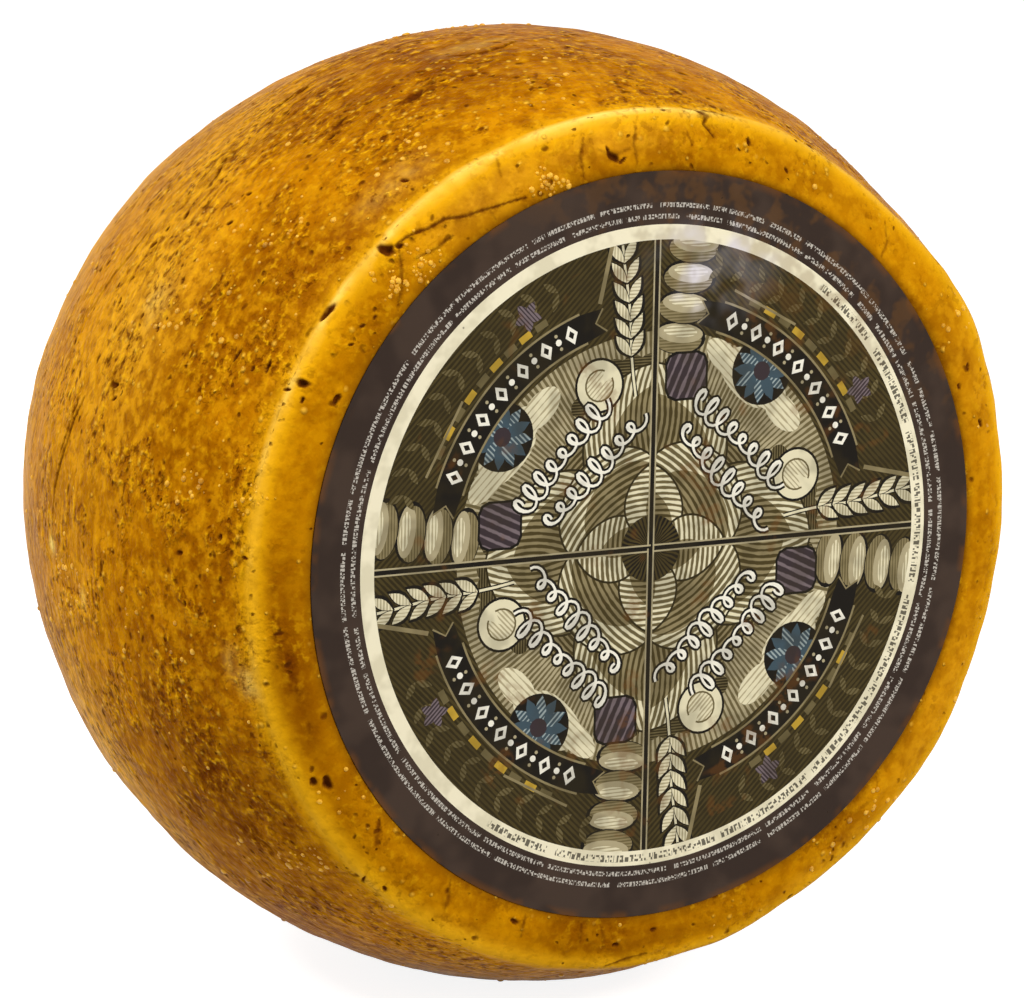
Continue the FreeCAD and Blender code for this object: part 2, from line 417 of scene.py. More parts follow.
wheel = {
    "labelMargin": 15.0 * millimetre,   # bare rind between the label and the rim
    "labelBorder": 1.5 * millimetre,    # flat of the face beyond the label
    "crownHeight": 5.0 * millimetre,    # how far the rims lie behind the faces
    "rimRounding": 3.4 * millimetre,    # length of profile that each rim is rounded over
    "wander": 0.8 * millimetre,         # how far the rims sit off the belly's middle
    "columns": 512,                     # steps round the wheel at full size, a multiple of 32
    "rowStep": 1.63 * millimetre,
    "seatRows": ((0.25, 8), (0.5, 4), (0.75, 2)),   # shares of the seat's radius, and how much fewer columns
    "rowMargins": (0.2 * millimetre, 2.0 * millimetre),   # without rows: beyond the seat, and round the back's middle
    "thinning": (60.0 * millimetre, 32),   # columns halve this far from the back's middle, down to 1 of 32
    "seatDepth": 0.25 * millimetre,     # the rind under the label lies this far back
    "seatRim": 0.15 * millimetre,       # and comes up to the face this far beyond its edge
    "hiddenEdge": 0.95,                 # share of the label's radius that no detail reaches
    "refineMargins": (1.4, 0.7),        # mm round each mark where the faces are halved, once and twice
    # unevenness: mm per swell, height in mm, how much less of it on the ring, seed
    "waves": ((42, 0.45, 0.0, 1), (17, 0.38, 0.16, 2), (6.5, 0.2, 0.11, 3), (3.4, 0.1, 0.05, 4)),
    "ridgeWidths": (2.9, 4.2),          # of the ridge along each rim, towards the face and down the side, in mm
    "upperClock": (105, 52),            # where the front ridge is highest and its painted highlight brightest, and how far round that reaches
    "bump": (0.0004, 1.0),              # fine relief: height in metres and strength
    "roughness": 0.34, "dullness": 0.3, "shine": 0.004,
}
rimRadius = labelRadius + wheel["labelMargin"]
rimPlane = halfThickness - wheel["crownHeight"]

# Marks lie at a clock angle in degrees and a way along the profile in mm, 0 at the front rim,
# less towards the label and more down the side. Pits add length, width, turn and depth.
wheelMarks = {
    "pits": [
        (132, -2.0, 5.2, 3.2, 60, 1.9), (130.5, -3.6, 2.6, 1.6, 20, 1.2),
        (143, 0.4, 5.8, 2.2, 10, 1.6),
        (152.5, -2.6, 4.4, 2.4, 80, 1.6), (154, 0.4, 2.6, 1.0, 70, 0.8), (154.5, -4.2, 1.8, 1.2, 0, 0.8),
        (152.5, -12.2, 3.4, 1.9, 10, 1.2), (142, -9, 1.8, 1.0, 30, 0.7), (140, -10.5, 1.6, 1.0, 0, 0.6),
        (145, -9, 1.6, 0.9, 40, 0.6), (-151.3, -7.6, 4.4, 2.8, 10, 1.8), (-152.4, -4.6, 3.0, 2.2, 0, 1.1),
        (96.5, -11, 4.6, 2.4, 40, 1.5), (95, -12.4, 3.0, 1.0, -30, 0.8), (97, -9.2, 3.0, 0.9, 80, 0.8),
        (152, 21, 4.4, 1.3, 12, 0.9), (152, 9.4, 4.2, 1.2, -8, 0.8), (153, 14, 2.0, 1.2, 0, 0.7),
        (123, 10.5, 3.4, 1.6, 65, 0.9), (160, 65, 4.6, 1.8, 80, 1.1), (161.5, 63, 3.0, 1.2, 60, 0.8),
        (-174, -7, 3.0, 1.0, 85, 0.3), (-169.5, -8, 2.6, 1.6, 60, 0.4),
        (177, 25, 2.4, 1.4, 80, 0.8), (174, 10.5, 1.8, 1.3, 0, 0.7), (176, 1.5, 2.2, 1.2, 90, 0.6),
        (-177, 23, 1.8, 1.3, 0, 0.6), (74, -6, 2.6, 1.4, 80, 0.8), (67, -10, 2.2, 1.0, 40, 0.6),
        (22, -9, 2.8, 1.3, 20, 0.8), (13, -9, 3.2, 1.4, -20, 0.9), (20, -13.5, 1.8, 1.2, 0, 0.6),
        (-89, -11.5, 2.2, 1.4, 0, 0.7), (-95, -8, 2.4, 1.6, 0, 0.8), (-113, -11.5, 3.0, 1.6, 10, 0.8),
        (-133, -2, 2.2, 1.2, 20, 0.6), (-136, 0.2, 3.0, 1.0, 60, 0.6), (-121, 20, 2.0, 1.3, 0, 0.6),
        (122.2, 45.6, 3.2, 2.0, -22, 0.8), (119.8, 49.4, 5.0, 2.0, -22, 0.8), (111.5, 39.4, 7.6, 3.0, -24, 0.8),
        (118.8, 83.6, 6.0, 1.8, -10, 0.6), (116.2, 83, 4.6, 2.2, -15, 0.6), (115.6, 49, 2.8, 1.6, 0, 0.8),
        (124.2, 52.6, 1.8, 1.4, 0, 0.7), (104.2, 37.4, 2.4, 1.6, 0, 0.7), (107.3, 40.8, 2.2, 1.4, 0, 0.7),
        (107.8, 50.2, 2.6, 1.4, 60, 0.6), (129.7, 80.6, 3.2, 1.6, -25, 0.7), (131.5, 77, 5.6, 1.5, -33, 0.7),
        (138.1, 74.8, 3.4, 2.2, -30, 0.9), (140.4, 79.4, 2.0, 1.6, 0, 0.7), (142.7, 80.6, 2.2, 1.6, 0, 0.8),
        (137.6, 51.4, 2.6, 1.4, 60, 0.7), (146, 54.8, 2.4, 1.5, -20, 0.7), (147.5, 80.6, 2.4, 1.4, 60, 0.6),
        (150.7, 80.6, 3.4, 1.4, -20, 0.7), (151.2, 78, 2.0, 1.4, 0, 0.6), (151.4, 64.2, 2.4, 1.4, 0, 0.6),
        (152.2, 54.8, 3.0, 1.2, -30, 0.6), (133.3, 53.8, 2.2, 1.2, 70, 0.6),
        (40, 30, 3.0, 1.4, 50, 0.8), (-20, 60, 3.6, 1.4, 80, 0.8), (5, 100, 2.6, 1.6, 20, 0.8),
        (-60, 45, 3.2, 1.2, 70, 0.7), (70, 110, 4.0, 1.4, 60, 0.9), (-110, 120, 3.0, 1.6, 30, 0.8),
        (50, 172, 4.2, 2.2, 30, 1.2), (150, 168, 3.6, 1.8, 60, 1.0), (-40, 186, 3.0, 2.0, 0, 1.0),
    ],
    # width and depth in mm, then the places that the crack runs through
    "cracks": [
        (0.42, 0.42, [(131, -2.6), (128.5, -3.6), (126, -5.6), (123.5, -6.4), (121, -9), (116, -11.6),
        (111.5, -13.4)]),
        (0.35, 0.14, [(117.5, -10.8), (117, -14.5)]),
        (0.4, 0.26, [(130, -9), (127, -10.6), (124, -11)]),
        (0.5, 0.3, [(131, -4.5), (132, -7), (133.2, -9.2), (134.7, -11.5), (136.5, -13.5)]),
        (0.35, 0.1, [(112.6, -1.5), (113.4, -5.5)]),
        (0.4, 0.16, [(100, -4.5), (101.3, -9), (101.6, -14.4)]),
        (0.4, 0.14, [(98.5, -8.2), (96.5, -11), (93.5, -9.5)]),
        (0.4, 0.16, [(92, -4.5), (92.8, -9), (92.6, -14.2)]),
        (0.35, 0.14, [(84, -6), (83.4, -9.4)]),
        (0.5, 0.4, [(83.5, 1.5), (82, 0), (80.5, -1), (81.3, -3.4), (79.8, -6.5)]),
        (0.4, 0.2, [(82, 0), (79, 0.6), (76.5, -0.4)]),
        (0.35, 0.14, [(47.5, -5), (45.6, -10), (45.4, -14.4)]),
        (0.5, 0.18, [(-142, -13.8), (-140.6, -11), (-139.2, -8.6)]),
        (0.5, 0.18, [(-126, -14.2), (-124.8, -10), (-124, -7.2)]),
        (0.35, 0.14, [(-111.6, -14), (-110.8, -8)]),
        (0.35, 0.14, [(-101.6, -14.2), (-101, -9)]),
        (0.35, 0.14, [(-98, -13.6), (-97, -8.4)]),
        (0.4, 0.3, [(-95.5, -1), (-92.5, -3.2), (-89.5, -4)]),
        (0.6, 0.4, [(162.5, 80), (165, 83), (168.5, 85.4), (172.5, 89), (174, 90)]),
        (0.4, 0.3, [(163.5, 83.5), (167, 86.4), (170.5, 89)]),
        (0.4, 0.14, [(174, 90), (178, 91), (-178.5, 91)]),
        (0.5, 0.45, [(103.1, 53.8), (101.5, 50.6), (99.9, 49), (97.1, 49), (94.3, 52.6)]),
        (0.6, 0.2, [(141.6, 89.8), (144.5, 91), (147.6, 94.6), (150.4, 96.8), (152.5, 98)]),
        (0.4, 0.16, [(126.5, 84), (130, 84.6), (133, 82)]),
        (0.4, 0.16, [(20, 70), (24, 72), (30, 71)]),
        (0.35, 0.14, [(-35, 20), (-37, 26), (-36.5, 31)]),
    ],
    # length round the wheel and width in mm, then strength
    "stains": [
        (117.5, 83.5, 17, 6, 1.0), (129, 80, 14, 7, 0.7), (120.5, 48.5, 13, 6, 0.9), (111.8, 39, 17, 6, 1.0),
        (122, 66, 70, 34, 0.35), (148, 66, 60, 36, 0.2), (-148, 26, 60, 44, 0.3), (-130, 70, 50, 40, 0.3),
        (106, 90, 60, 20, 0.3),
        (104, 77, 22, 5, 0.7), (101, 64, 30, 4, 0.5), (140, 68, 12, 8, 0.5), (143, 79, 8, 5, 0.5),
        (160, 66, 9, 9, 0.7), (-168.5, -8, 14, 5, 1.0), (-174.5, -6.5, 14, 2.6, 0.9), (-165, -10, 9, 3, 0.7),
        (-160, -9, 14, 4, 0.35), (-125, 46, 14, 4, 0.9),
        (-153, 31, 20, 16, 0.85), (-144, 28, 18, 13, 0.9), (-163, 46, 18, 8, 0.6), (-150, 48, 22, 8, 0.6),
        (-147, 9, 14, 6, 0.6), (-160, 26, 16, 12, 0.5), (-157, 36, 10, 8, 0.4),
        (-164, 40, 12, 10, 0.35), (-141, 52, 9, 5, 0.5), (77, 4, 16, 3, 0.5), (70, 8, 14, 3, 0.6),
        (-20, 55, 22, 6, 0.6), (30, 90, 18, 8, 0.5), (-70, 70, 26, 6, 0.5), (60, 60, 20, 5, 0.5),
        (-100, 95, 18, 9, 0.5), (170, 120, 20, 6, 0.5), (96.5, -11, 6, 4, 0.5), (133, -4, 5, 5, 0.5),
        (179.5, -6.2, 4, 1.8, 0.8), (-176, -6.4, 8, 2, 0.9), (-172.8, -6.9, 4, 2.8, 1.0), (-166, -9.2, 6, 2, 1.0),
        (-160, -9.6, 3, 2.4, 0.8), (-132, -10.5, 2.4, 2.4, 0.5),
    ],
    # painted glints of light and milky blooms in the coat: length round the wheel and width in mm, then strength
    "glintsAndBlooms": [
        (-167, 3.6, 8, 5, 0.9), (-179, 92, 5, 4, 1.0), (-174, 71, 5, 3, 1.0), (98.5, 57, 20, 8, 0.3),
        (-170, 8, 8, 5, 0.25),
        (150, 62, 16, 12, 0.25), (124, 12, 20, 9, 0.25), (60, 40, 12, 6, 0.3), (-40, 70, 10, 6, 0.4),
    ],
    # crowded bubbles: how many mm across, and how crowded
    "foam": [
        (168, 3, 9, 1.3), (132.5, -12, 11, 4.0), (107.5, -14, 8, 2.4), (-150, -7, 10, 0.5), (140, 34, 30, 0.25),
        (150, 52, 18, 0.3), (168, 22, 20, 0.3), (-171, 40, 22, 0.25), (-176, 82, 16, 0.6), (-60, -8, 12, 0.3),
        (-48, -10, 14, 0.3), (-80, -7, 9, 0.3), (28, -8, 14, 0.5), (120, 22, 26, 0.15), (98, 30, 30, 0.12),
        (-140, 20, 26, 0.3), (-20, 40, 40, 0.3), (60, 80, 40, 0.3), (-100, 90, 50, 0.3), (90, 120, 40, 0.3),
    ],
    # length round the wheel and width in mm, then pale (+) or brown (-) by how much
    "tones": [
        (150, 70, 80, 44, 0.7), (108, 50, 80, 54, -0.62), (-150, 34, 70, 40, -0.65), (140, 22, 60, 30, -0.25),
        (125, 90, 70, 36, 0.5), (-150, 94, 64, 34, 1.0), (-133, 72, 50, 26, 0.6), (166, 96, 60, 24, 0.2),
        (-125, 60, 60, 60, -0.3),
        (-174, 80, 60, 40, 0.25), (80, 60, 120, 70, -0.3), (10, 60, 120, 60, 0.2), (-98, 40, 110, 70, 0.45),
        (-45, 60, 100, 60, -0.1), (-90, -8, 60, 14, -0.6), (-168, -9, 70, 12, -0.8), (118, -8, 40, 12, 0.4),
        (95, -6, 30, 10, 0.4), (60, -8, 60, 16, 0.1), (20, -8, 60, 16, 0.2), (-30, -8, 60, 16, 0.3),
        # the first two marks of this row lighten the ridge along the bottom of the front rim: painted light over the
        # shade that falls there
        (-118, -1, 60, 7, 0.7), (-88, -2, 50, 7, 0.7), (-150, -2, 50, 6, 0.4), (-60, -4, 40, 8, 0.4),
        (-136, -10, 40, 12, -0.22),
    ],
    # slow swellings that keep the wheel from being turned true: spread round and along, height in mm
    "swellings": [
        (100, 60, 34, 60, 0.8), (131, 90, 20, 40, -1.9), (-150, 95, 30, 45, -0.1), (-100, 40, 26, 40, 0.4),
        (52, 0, 15, 26, -1.9), (28, 0, 14, 30, 1.1), (-24, 0, 14, 30, -0.4), (-62, 0, 18, 30, -0.6),
        (170, 20, 20, 24, -0.4), (120, 8, 18, 20, 0.4), (-20, 90, 30, 40, 0.6), (30, 100, 25, 40, -0.6),
        (178, 95, 25, 40, -0.4),
    ],
}


# (y, radius) along the wheel's half section, front middle to back middle, every 0.1 mm.
def wheelProfile():
    flat = labelRadius + wheel["labelBorder"]
    reach, drop = rimRadius - flat, wheel["crownHeight"]
    arcRadius = (reach ** 2 + drop ** 2) / (2 * drop)
    step = 0.1 * millimetre
    radii = np.arange(0, flat, step)
    front = [np.c_[np.full(len(radii), -halfThickness), radii]]
    radii = np.arange(flat, rimRadius, step)
    heights = arcRadius - np.sqrt(arcRadius ** 2 - (radii - flat) ** 2)
    front.append(np.c_[heights - halfThickness, radii])
    front = np.vstack(front)
    ys = np.arange(-rimPlane, rimPlane, step)
    side = np.c_[ys, bellyRadius - (bellyRadius - rimRadius) * (ys / rimPlane) ** 2]
    line = np.vstack([front, side, front[::-1] * (-1, 1)])
    length = np.r_[0, np.cumsum(np.hypot(*np.diff(line, axis=0).T))]
    even = np.arange(0, length[-1], step)
    line = np.c_[np.interp(even, length, line[:, 0]), np.interp(even, length, line[:, 1])]
    width = int(wheel["rimRounding"] / step) | 1
    padded = np.vstack([line[:1].repeat(width // 2, 0), line, line[-1:].repeat(width // 2, 0)])
    rounded = np.c_[np.convolve(padded[:, 0], np.ones(width) / width, "valid"),
                    np.convolve(padded[:, 1], np.ones(width) / width, "valid")]
    nearRim = line[:, 1] > rimRadius - 2 * wheel["rimRounding"]
    line[nearRim] = rounded[nearRim]
    rim = even[np.argmin(np.hypot(line[:, 0] + rimPlane, line[:, 1] - rimRadius))]
    return even - rim, line


profileAt, profileLine = wheelProfile()
profileSlope = np.gradient(profileLine, profileAt, axis=0)
backRim = profileAt[-1] + profileAt[0]     # where the back rim lies, counted from the front one


# Points, outward normals and radii of the smooth wheel, at clock angles and ways along.
def surfaceAt(clock, along):
    y = np.interp(along, profileAt, profileLine[:, 0])
    radius = np.interp(along, profileAt, profileLine[:, 1])
    slopeY = np.interp(along, profileAt, profileSlope[:, 0])
    slopeR = np.interp(along, profileAt, profileSlope[:, 1])
    size = np.hypot(slopeY, slopeR)
    outY, outR = -slopeR / size, slopeY / size
    turn = np.clip(-y / rimPlane, -1, 1) * math.pi / 2
    x = wheel["wander"] * np.sin(turn)
    z = axisHeight + wheel["wander"] * (1 - np.cos(turn))
    points = np.c_[x + radius * np.cos(clock), y, z + radius * np.sin(clock)]
    normals = np.c_[outR * np.cos(clock), outY, outR * np.sin(clock)]
    return points, normals, radius


# (way along, columns) of every row of points, front middle to back middle.
def ringRows():
    columns = wheel["columns"]
    seat = labelRadius + wheel["seatRim"]
    start, last = profileAt[0], profileAt[-1]
    rows = [(start + seat * share, columns // split) for share, split in wheel["seatRows"]]
    rows += [(start + seat * share, columns) for share in (wheel["hiddenEdge"], 1.0)]
    bare, fewest = wheel["rowMargins"], wheel["thinning"]
    for along in np.arange(start + seat + bare[0], last - bare[1], wheel["rowStep"]):
        split = 1
        while split < fewest[1] and last - along < fewest[0] / split:
            split *= 2
        rows.append((along, columns // split))
    return rows


# Faces between two closed rows, of which one may have half as many points.
def stitch(builder, first, second):
    if len(first) == len(second):
        for k in range(len(first)):
            n = (k + 1) % len(first)
            builder.faces.new((first[k], second[k], second[n], first[n]))
        return
    fine, coarse = (first, second) if len(first) > len(second) else (second, first)
    for k in range(len(coarse)):
        n = (k + 1) % len(coarse)
        a, b, c = fine[2 * k], fine[2 * k + 1], fine[(2 * k + 2) % len(fine)]
        for face in ((a, coarse[k], b), (b, coarse[k], coarse[n]), (b, coarse[n], c)):
            builder.faces.new(face)


def buildWheelGrid(builder, along):
    rows = []
    for way, columns in ringRows():
        clock = np.arange(columns) / columns * math.tau
        row = [builder.verts.new(point) for point in surfaceAt(clock, np.full(columns, way))[0]]
        for vertex in row:
            vertex[along] = way
        rows.append(row)
    for first, second in zip(rows, rows[1:]):
        stitch(builder, first, second)
    for row, way in ((rows[0], profileAt[0]), (rows[-1], profileAt[-1])):
        middle = builder.verts.new(surfaceAt(np.zeros(1), np.full(1, way))[0][0])
        middle[along] = way
        for k in range(len(row)):
            builder.faces.new((row[k], row[(k + 1) % len(row)], middle))
    bmesh.ops.recalc_face_normals(builder, faces=builder.faces)


# Clock angle and distance from the axis, for points of the smooth wheel.
def wheelPlaces(points):
    turn = np.clip(-points[:, 1] / rimPlane, -1, 1) * math.pi / 2
    x = points[:, 0] - wheel["wander"] * np.sin(turn)
    z = points[:, 2] - axisHeight - wheel["wander"] * (1 - np.cos(turn))
    return np.arctan2(z, x), np.hypot(x, z)


# How far points lie from a mark, in mm round the wheel and in mm along the profile.
def offsetFrom(mark, clock, along, radius):
    turn = (clock - math.radians(mark[0]) + math.pi) % math.tau - math.pi
    return turn * radius / millimetre, along / millimetre - mark[1]


# Distance from a crack in mm, and how far along it, 0 to 1.
def crackDistance(path, clock, along, radius):
    best, share = np.full(len(clock), 1e3), np.zeros(len(clock))
    for k, (first, second) in enumerate(zip(path, path[1:])):
        u, v = offsetFrom(first, clock, along, radius)
        stepU = math.radians((second[0] - first[0] + 180) % 360 - 180) * radius / millimetre
        stepV = second[1] - first[1]
        t = np.clip((u * stepU + v * stepV) / (stepU ** 2 + stepV ** 2 + 1e-9), 0, 1)
        distance = np.hypot(u - t * stepU, v - t * stepV)
        closer = distance < best
        best[closer] = distance[closer]
        share[closer] = (k + t[closer]) / (len(path) - 1)
    return best, share


def nearMarks(clock, along, radius, margin):
    near = np.zeros(len(clock), bool)
    for mark in wheelMarks["pits"]:
        u, v = offsetFrom(mark, clock, along, radius)
        near |= np.hypot(u, v) < mark[2] / 2 + margin
    for width, _, path in wheelMarks["cracks"]:
        near |= crackDistance(path, clock, along, radius)[0] < width + margin
    return near


# Halve the faces near pits and cracks.
def refineMarks(builder, alongLayer, margin):
    faces = list(builder.faces)
    centres = np.array([face.calc_center_median() for face in faces])
    along = np.array([sum(v[alongLayer] for v in face.verts) / len(face.verts) for face in faces])
    clock, radius = wheelPlaces(centres)
    near = nearMarks(clock, along, radius, margin)
    edges = {edge for face, wanted in zip(faces, near) if wanted for edge in face.edges}
    bmesh.ops.subdivide_edges(builder, edges=list(edges), cuts=1, use_grid_fill=True)


def smooth(value, low, high):
    t = np.clip((value - low) / (high - low), 0, 1)
    return t * t * (3 - 2 * t)


# Smooth noise of about -1 to 1 at each point, scale in mm per swell.
def noiseAt(points, scale, seed):
    shift = Vector((seed * 7.3, seed * 3.1, seed * 5.7))
    size = 1 / (scale * millimetre)
    return np.array([noise.noise(Vector(p) * size + shift) for p in points])


# Degrees round the wheel from a clock angle.
def turnFrom(middle, clock):
    return (np.degrees(clock) - middle + 180) % 360 - 180


# A soft oval spot: 1 in a mark's middle, fading over its length and width.
def spot(mark, places):
    u, v = offsetFrom(mark, *places)
    return np.exp(-(u / (mark[2] / 2)) ** 2 - (v / (mark[3] / 2)) ** 2)


# The long soft ridge along a rim. The distance is in mm, less than 0 towards the face.
def ridgeShare(distance):
    return np.exp(-(distance / np.where(distance < 0, *wheel["ridgeWidths"])) ** 2)


# How deep pits and cracks cut, how dark they are, how they stain the rind, and the raised edges of pits.
def cutMarks(places, rough):
    cut, gash, streak, edges = np.zeros((4, len(rough)))
    for mark in wheelMarks["pits"]:
        u, v = offsetFrom(mark, *places)
        turn = math.radians(mark[4])
        a = (u * math.cos(turn) + v * math.sin(turn)) / (mark[2] / 2)
        b = (v * math.cos(turn) - u * math.sin(turn)) / (mark[3] / 2)
        reach = np.hypot(a, b) + 0.28 * rough
        cut = np.maximum(cut, mark[5] * (1 - smooth(reach, 0.15, 1.15)))
        gash = np.maximum(gash, 1 - smooth(reach, 0.7, 1.1))
        edges += 0.12 * np.exp(-((reach - 1.35) / 0.3) ** 2)
    for width, depth, path in wheelMarks["cracks"]:
        distance, share = crackDistance(path, *places)
        # thin at both ends
        wide = width * (0.45 + 0.75 * np.sin(np.clip(share, 0.03, 0.97) * math.pi)) * (1 + 0.5 * rough)
        dark, stained = min(0.9, 1.9 * depth), min(0.9, 0.42 + depth)
        cut = np.maximum(cut, depth * (1 - smooth(distance, 0.1, wide + 0.15)))
        gash = np.maximum(gash, dark * (1 - smooth(distance, wide * 0.45, wide + 0.1)))
        streak = np.maximum(streak, stained * (1 - smooth(distance, 0, 2.6 * wide + 0.2)))
    return cut, gash, streak, edges


# Move the points to the uneven surface, and note what lies where for the colours.
def shapeWheel(mesh, along):
    points = np.array([v.co for v in mesh.vertices])
    clock, radius = wheelPlaces(points)
    points, normals, radius = surfaceAt(clock, along)
    places = clock, along, radius
    alongMm, backMm = along / millimetre, backRim / millimetre
    beyondLabel = (radius - labelRadius) / millimetre
    back = smooth(alongMm, backMm - 3, backMm + 1)
    ring = np.maximum(1 - smooth(alongMm, -1.8, 2.2), back)
    upperMiddle, upperReach = wheel["upperClock"]
    upper = np.exp(-(turnFrom(upperMiddle, clock) / upperReach) ** 2)

    lift = np.zeros(len(points))
    for middle, start, turnReach, length, height in wheelMarks["swellings"]:
        lift += height * np.exp(-(turnFrom(middle, clock) / turnReach) ** 2 - ((alongMm - start) / length) ** 2)
    for scale, height, less, seed in wheel["waves"]:
        lift += (height - less * ring) * noiseAt(points, scale, seed)
    # the ridge note also paints a highlight along each rim in the rind's colour
    ridge = np.maximum(ridgeShare(alongMm + 1.0), 0.8 * ridgeShare(backMm - alongMm))
    lift += ridge * (0.25 + 0.35 * noiseAt(points, 24, 5))
    brow = 0.15 + 0.35 * upper + 0.2 * noiseAt(points, 12, 6)
    lift += np.exp(-((alongMm + 0.2) / 1.2) ** 2) * brow
    cut, gash, stain, edges = cutMarks(places, noiseAt(points, 1.3, 7))
    lift += edges - cut

    # painted highlight along the front rim, brightest towards the top, and painted glints and milky blooms in the coat
    highlightbloom = np.exp(-((alongMm + 0.1 + 0.5 * noiseAt(points, 15, 10)) / 0.85) ** 2) * (0.12 + 0.75 * upper)
    cloudy = np.clip(0.8 + noiseAt(points, 4, 11), 0, 1)
    for mark in wheelMarks["glintsAndBlooms"]:
        highlightbloom += mark[4] * spot(mark, places) * cloudy
    ragged = 0.35 * noiseAt(points, 6.5, 3)
    for mark in wheelMarks["stains"]:
        u, v = offsetFrom(mark, *places)
        reach = np.hypot(u / (mark[2] / 2), v / (mark[3] / 2)) + ragged
        stain = np.maximum(stain, mark[4] * (1 - smooth(reach, 0.2, 1.3)))
    tone = 0.5 * back * noiseAt(points, 48, 12)
    for mark in wheelMarks["tones"]:
        tone += mark[4] * spot(mark, places)

    # bubbles keep off pits, the foot and the label's edge
    foam = np.clip(0.006 + 0.03 * noiseAt(points, 20, 8), 0, 1) * (1 - 0.5 * ring)
    broken = np.clip(0.5 + noiseAt(points, 7, 9), 0, 1)
    for clockMiddle, start, across, crowded in wheelMarks["foam"]:
        foam += 2 * crowded * spot((clockMiddle, start, across, across), places) * broken
    foam *= (gash < 0.1) * smooth(points[:, 2] / millimetre, 2, 5) * smooth(beyondLabel, 1, 2)

    # nothing swells under the label, and the seat lies a little deeper
    front = alongMm < 0
    lift = np.where(front, lift * smooth(beyondLabel, 0.1, 3.5), lift)
    footed = points[:, 2] < 0
    points += normals * lift[:, None] * millimetre
    points[front & (radius < labelRadius + 1.02 * wheel["seatRim"]), 1] = wheel["seatDepth"] - halfThickness
    points[:, 2] = np.where(footed, 0, np.maximum(points[:, 2], 0))
    edge = np.where(front, 1 - smooth(beyondLabel, 0, 4.5), 0)
    mesh.vertices.foreach_set("co", points.ravel())
    notes = {"ring": ring, "ridge": ridge, "gash": gash, "stain": stain, "edge": edge, "tone": tone, "foam": foam,
             "highlightbloom": highlightbloom}
    for name, values in notes.items():
        mesh.attributes.new(name, "FLOAT", "POINT").data.foreach_set("value", values)


def makeWheel(material):
    builder = bmesh.new()
    alongLayer = builder.verts.layers.float.new("along")
    buildWheelGrid(builder, alongLayer)
    for margin in wheel["refineMargins"]:
        refineMarks(builder, alongLayer, margin)
    uneven = [face for face in builder.faces if len(face.verts) > 4]
    bmesh.ops.triangulate(builder, faces=uneven)
    along = np.array([vertex[alongLayer] for vertex in builder.verts])
    mesh = meshFrom(builder, "cheeseWheel")
    shapeWheel(mesh, along)
    mesh.polygons.foreach_set("use_smooth", np.ones(len(mesh.polygons), bool))
    mesh.update()
    return newObject("cheeseWheel", mesh, material)


def rindMaterial():
    material, tree = newMaterial("cheeseRind")
    place = put(tree, "ShaderNodeTexCoord").outputs["Object"]
    look = useRind(tree, place, "Ring", "Ridge", "Stain", "Edge", "Tone", "HighlightBloom")
    gash = attribute(tree, "gash")
    roughness = timesPlus(calc("MAXIMUM", look["Dull"], gash), wheel["dullness"], wheel["roughness"])
    finishMaterial(tree, tint(look["Colour"], gash, rind["gash"]), roughness, wheel["shine"], look["Height"],
                   wheel["bump"])
    return material


cheeseWheel = makeWheel(rindMaterial())
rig.ride(cheeseWheel, "root")
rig.replaces(cheeseWheel, "cheese_wheel")
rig.slot(cheeseWheel, "rind")
printSize("wheel:", cheeseWheel)


# Bubbles that dried in the coat, crowded where the wheel's "foam" note is high.
bubbles = {
    "size": 0.62 * millimetre,   # radius of a middling one
    "smallest": 0.55,            # as shares of it
    "largest": 1.7,
    "rareness": 2.2,             # the higher, the fewer large ones
    "perSquareMetre": 230000.0,
    "seed": 11,
    "sides": 7,
    "profile": ((1.0, -0.35), (0.86, 0.225), (0.45, 0.45)), "top": 0.5,   # radius and height, foot to top
    "paint": (246, 190, 60, 1.0),
    "bump": (0.00015, 0.6), "roughness": 0.3, "shine": 0.15,
}


# One low closed dome of radius 1, whose foot reaches below its origin.
def bubbleMesh():
    sides = bubbles["sides"]
    builder = bmesh.new()
    rings = [[builder.verts.new((radius * math.cos(k / sides * math.tau), radius * math.sin(k / sides * math.tau),
                                 height)) for k in range(sides)] for radius, height in bubbles["profile"]]
    top = builder.verts.new((0, 0, bubbles["top"]))
    for lower, upper in zip(rings, rings[1:]):
        for k in range(sides):
            builder.faces.new((lower[k], lower[(k + 1) % sides], upper[(k + 1) % sides], upper[k]))
    for k in range(sides):
        builder.faces.new((rings[-1][k], rings[-1][(k + 1) % sides], top))
    builder.faces.new(rings[0][::-1])
    for face in builder.faces:
        face.smooth = len(face.verts) < sides
    return meshFrom(builder, "oneBubble")


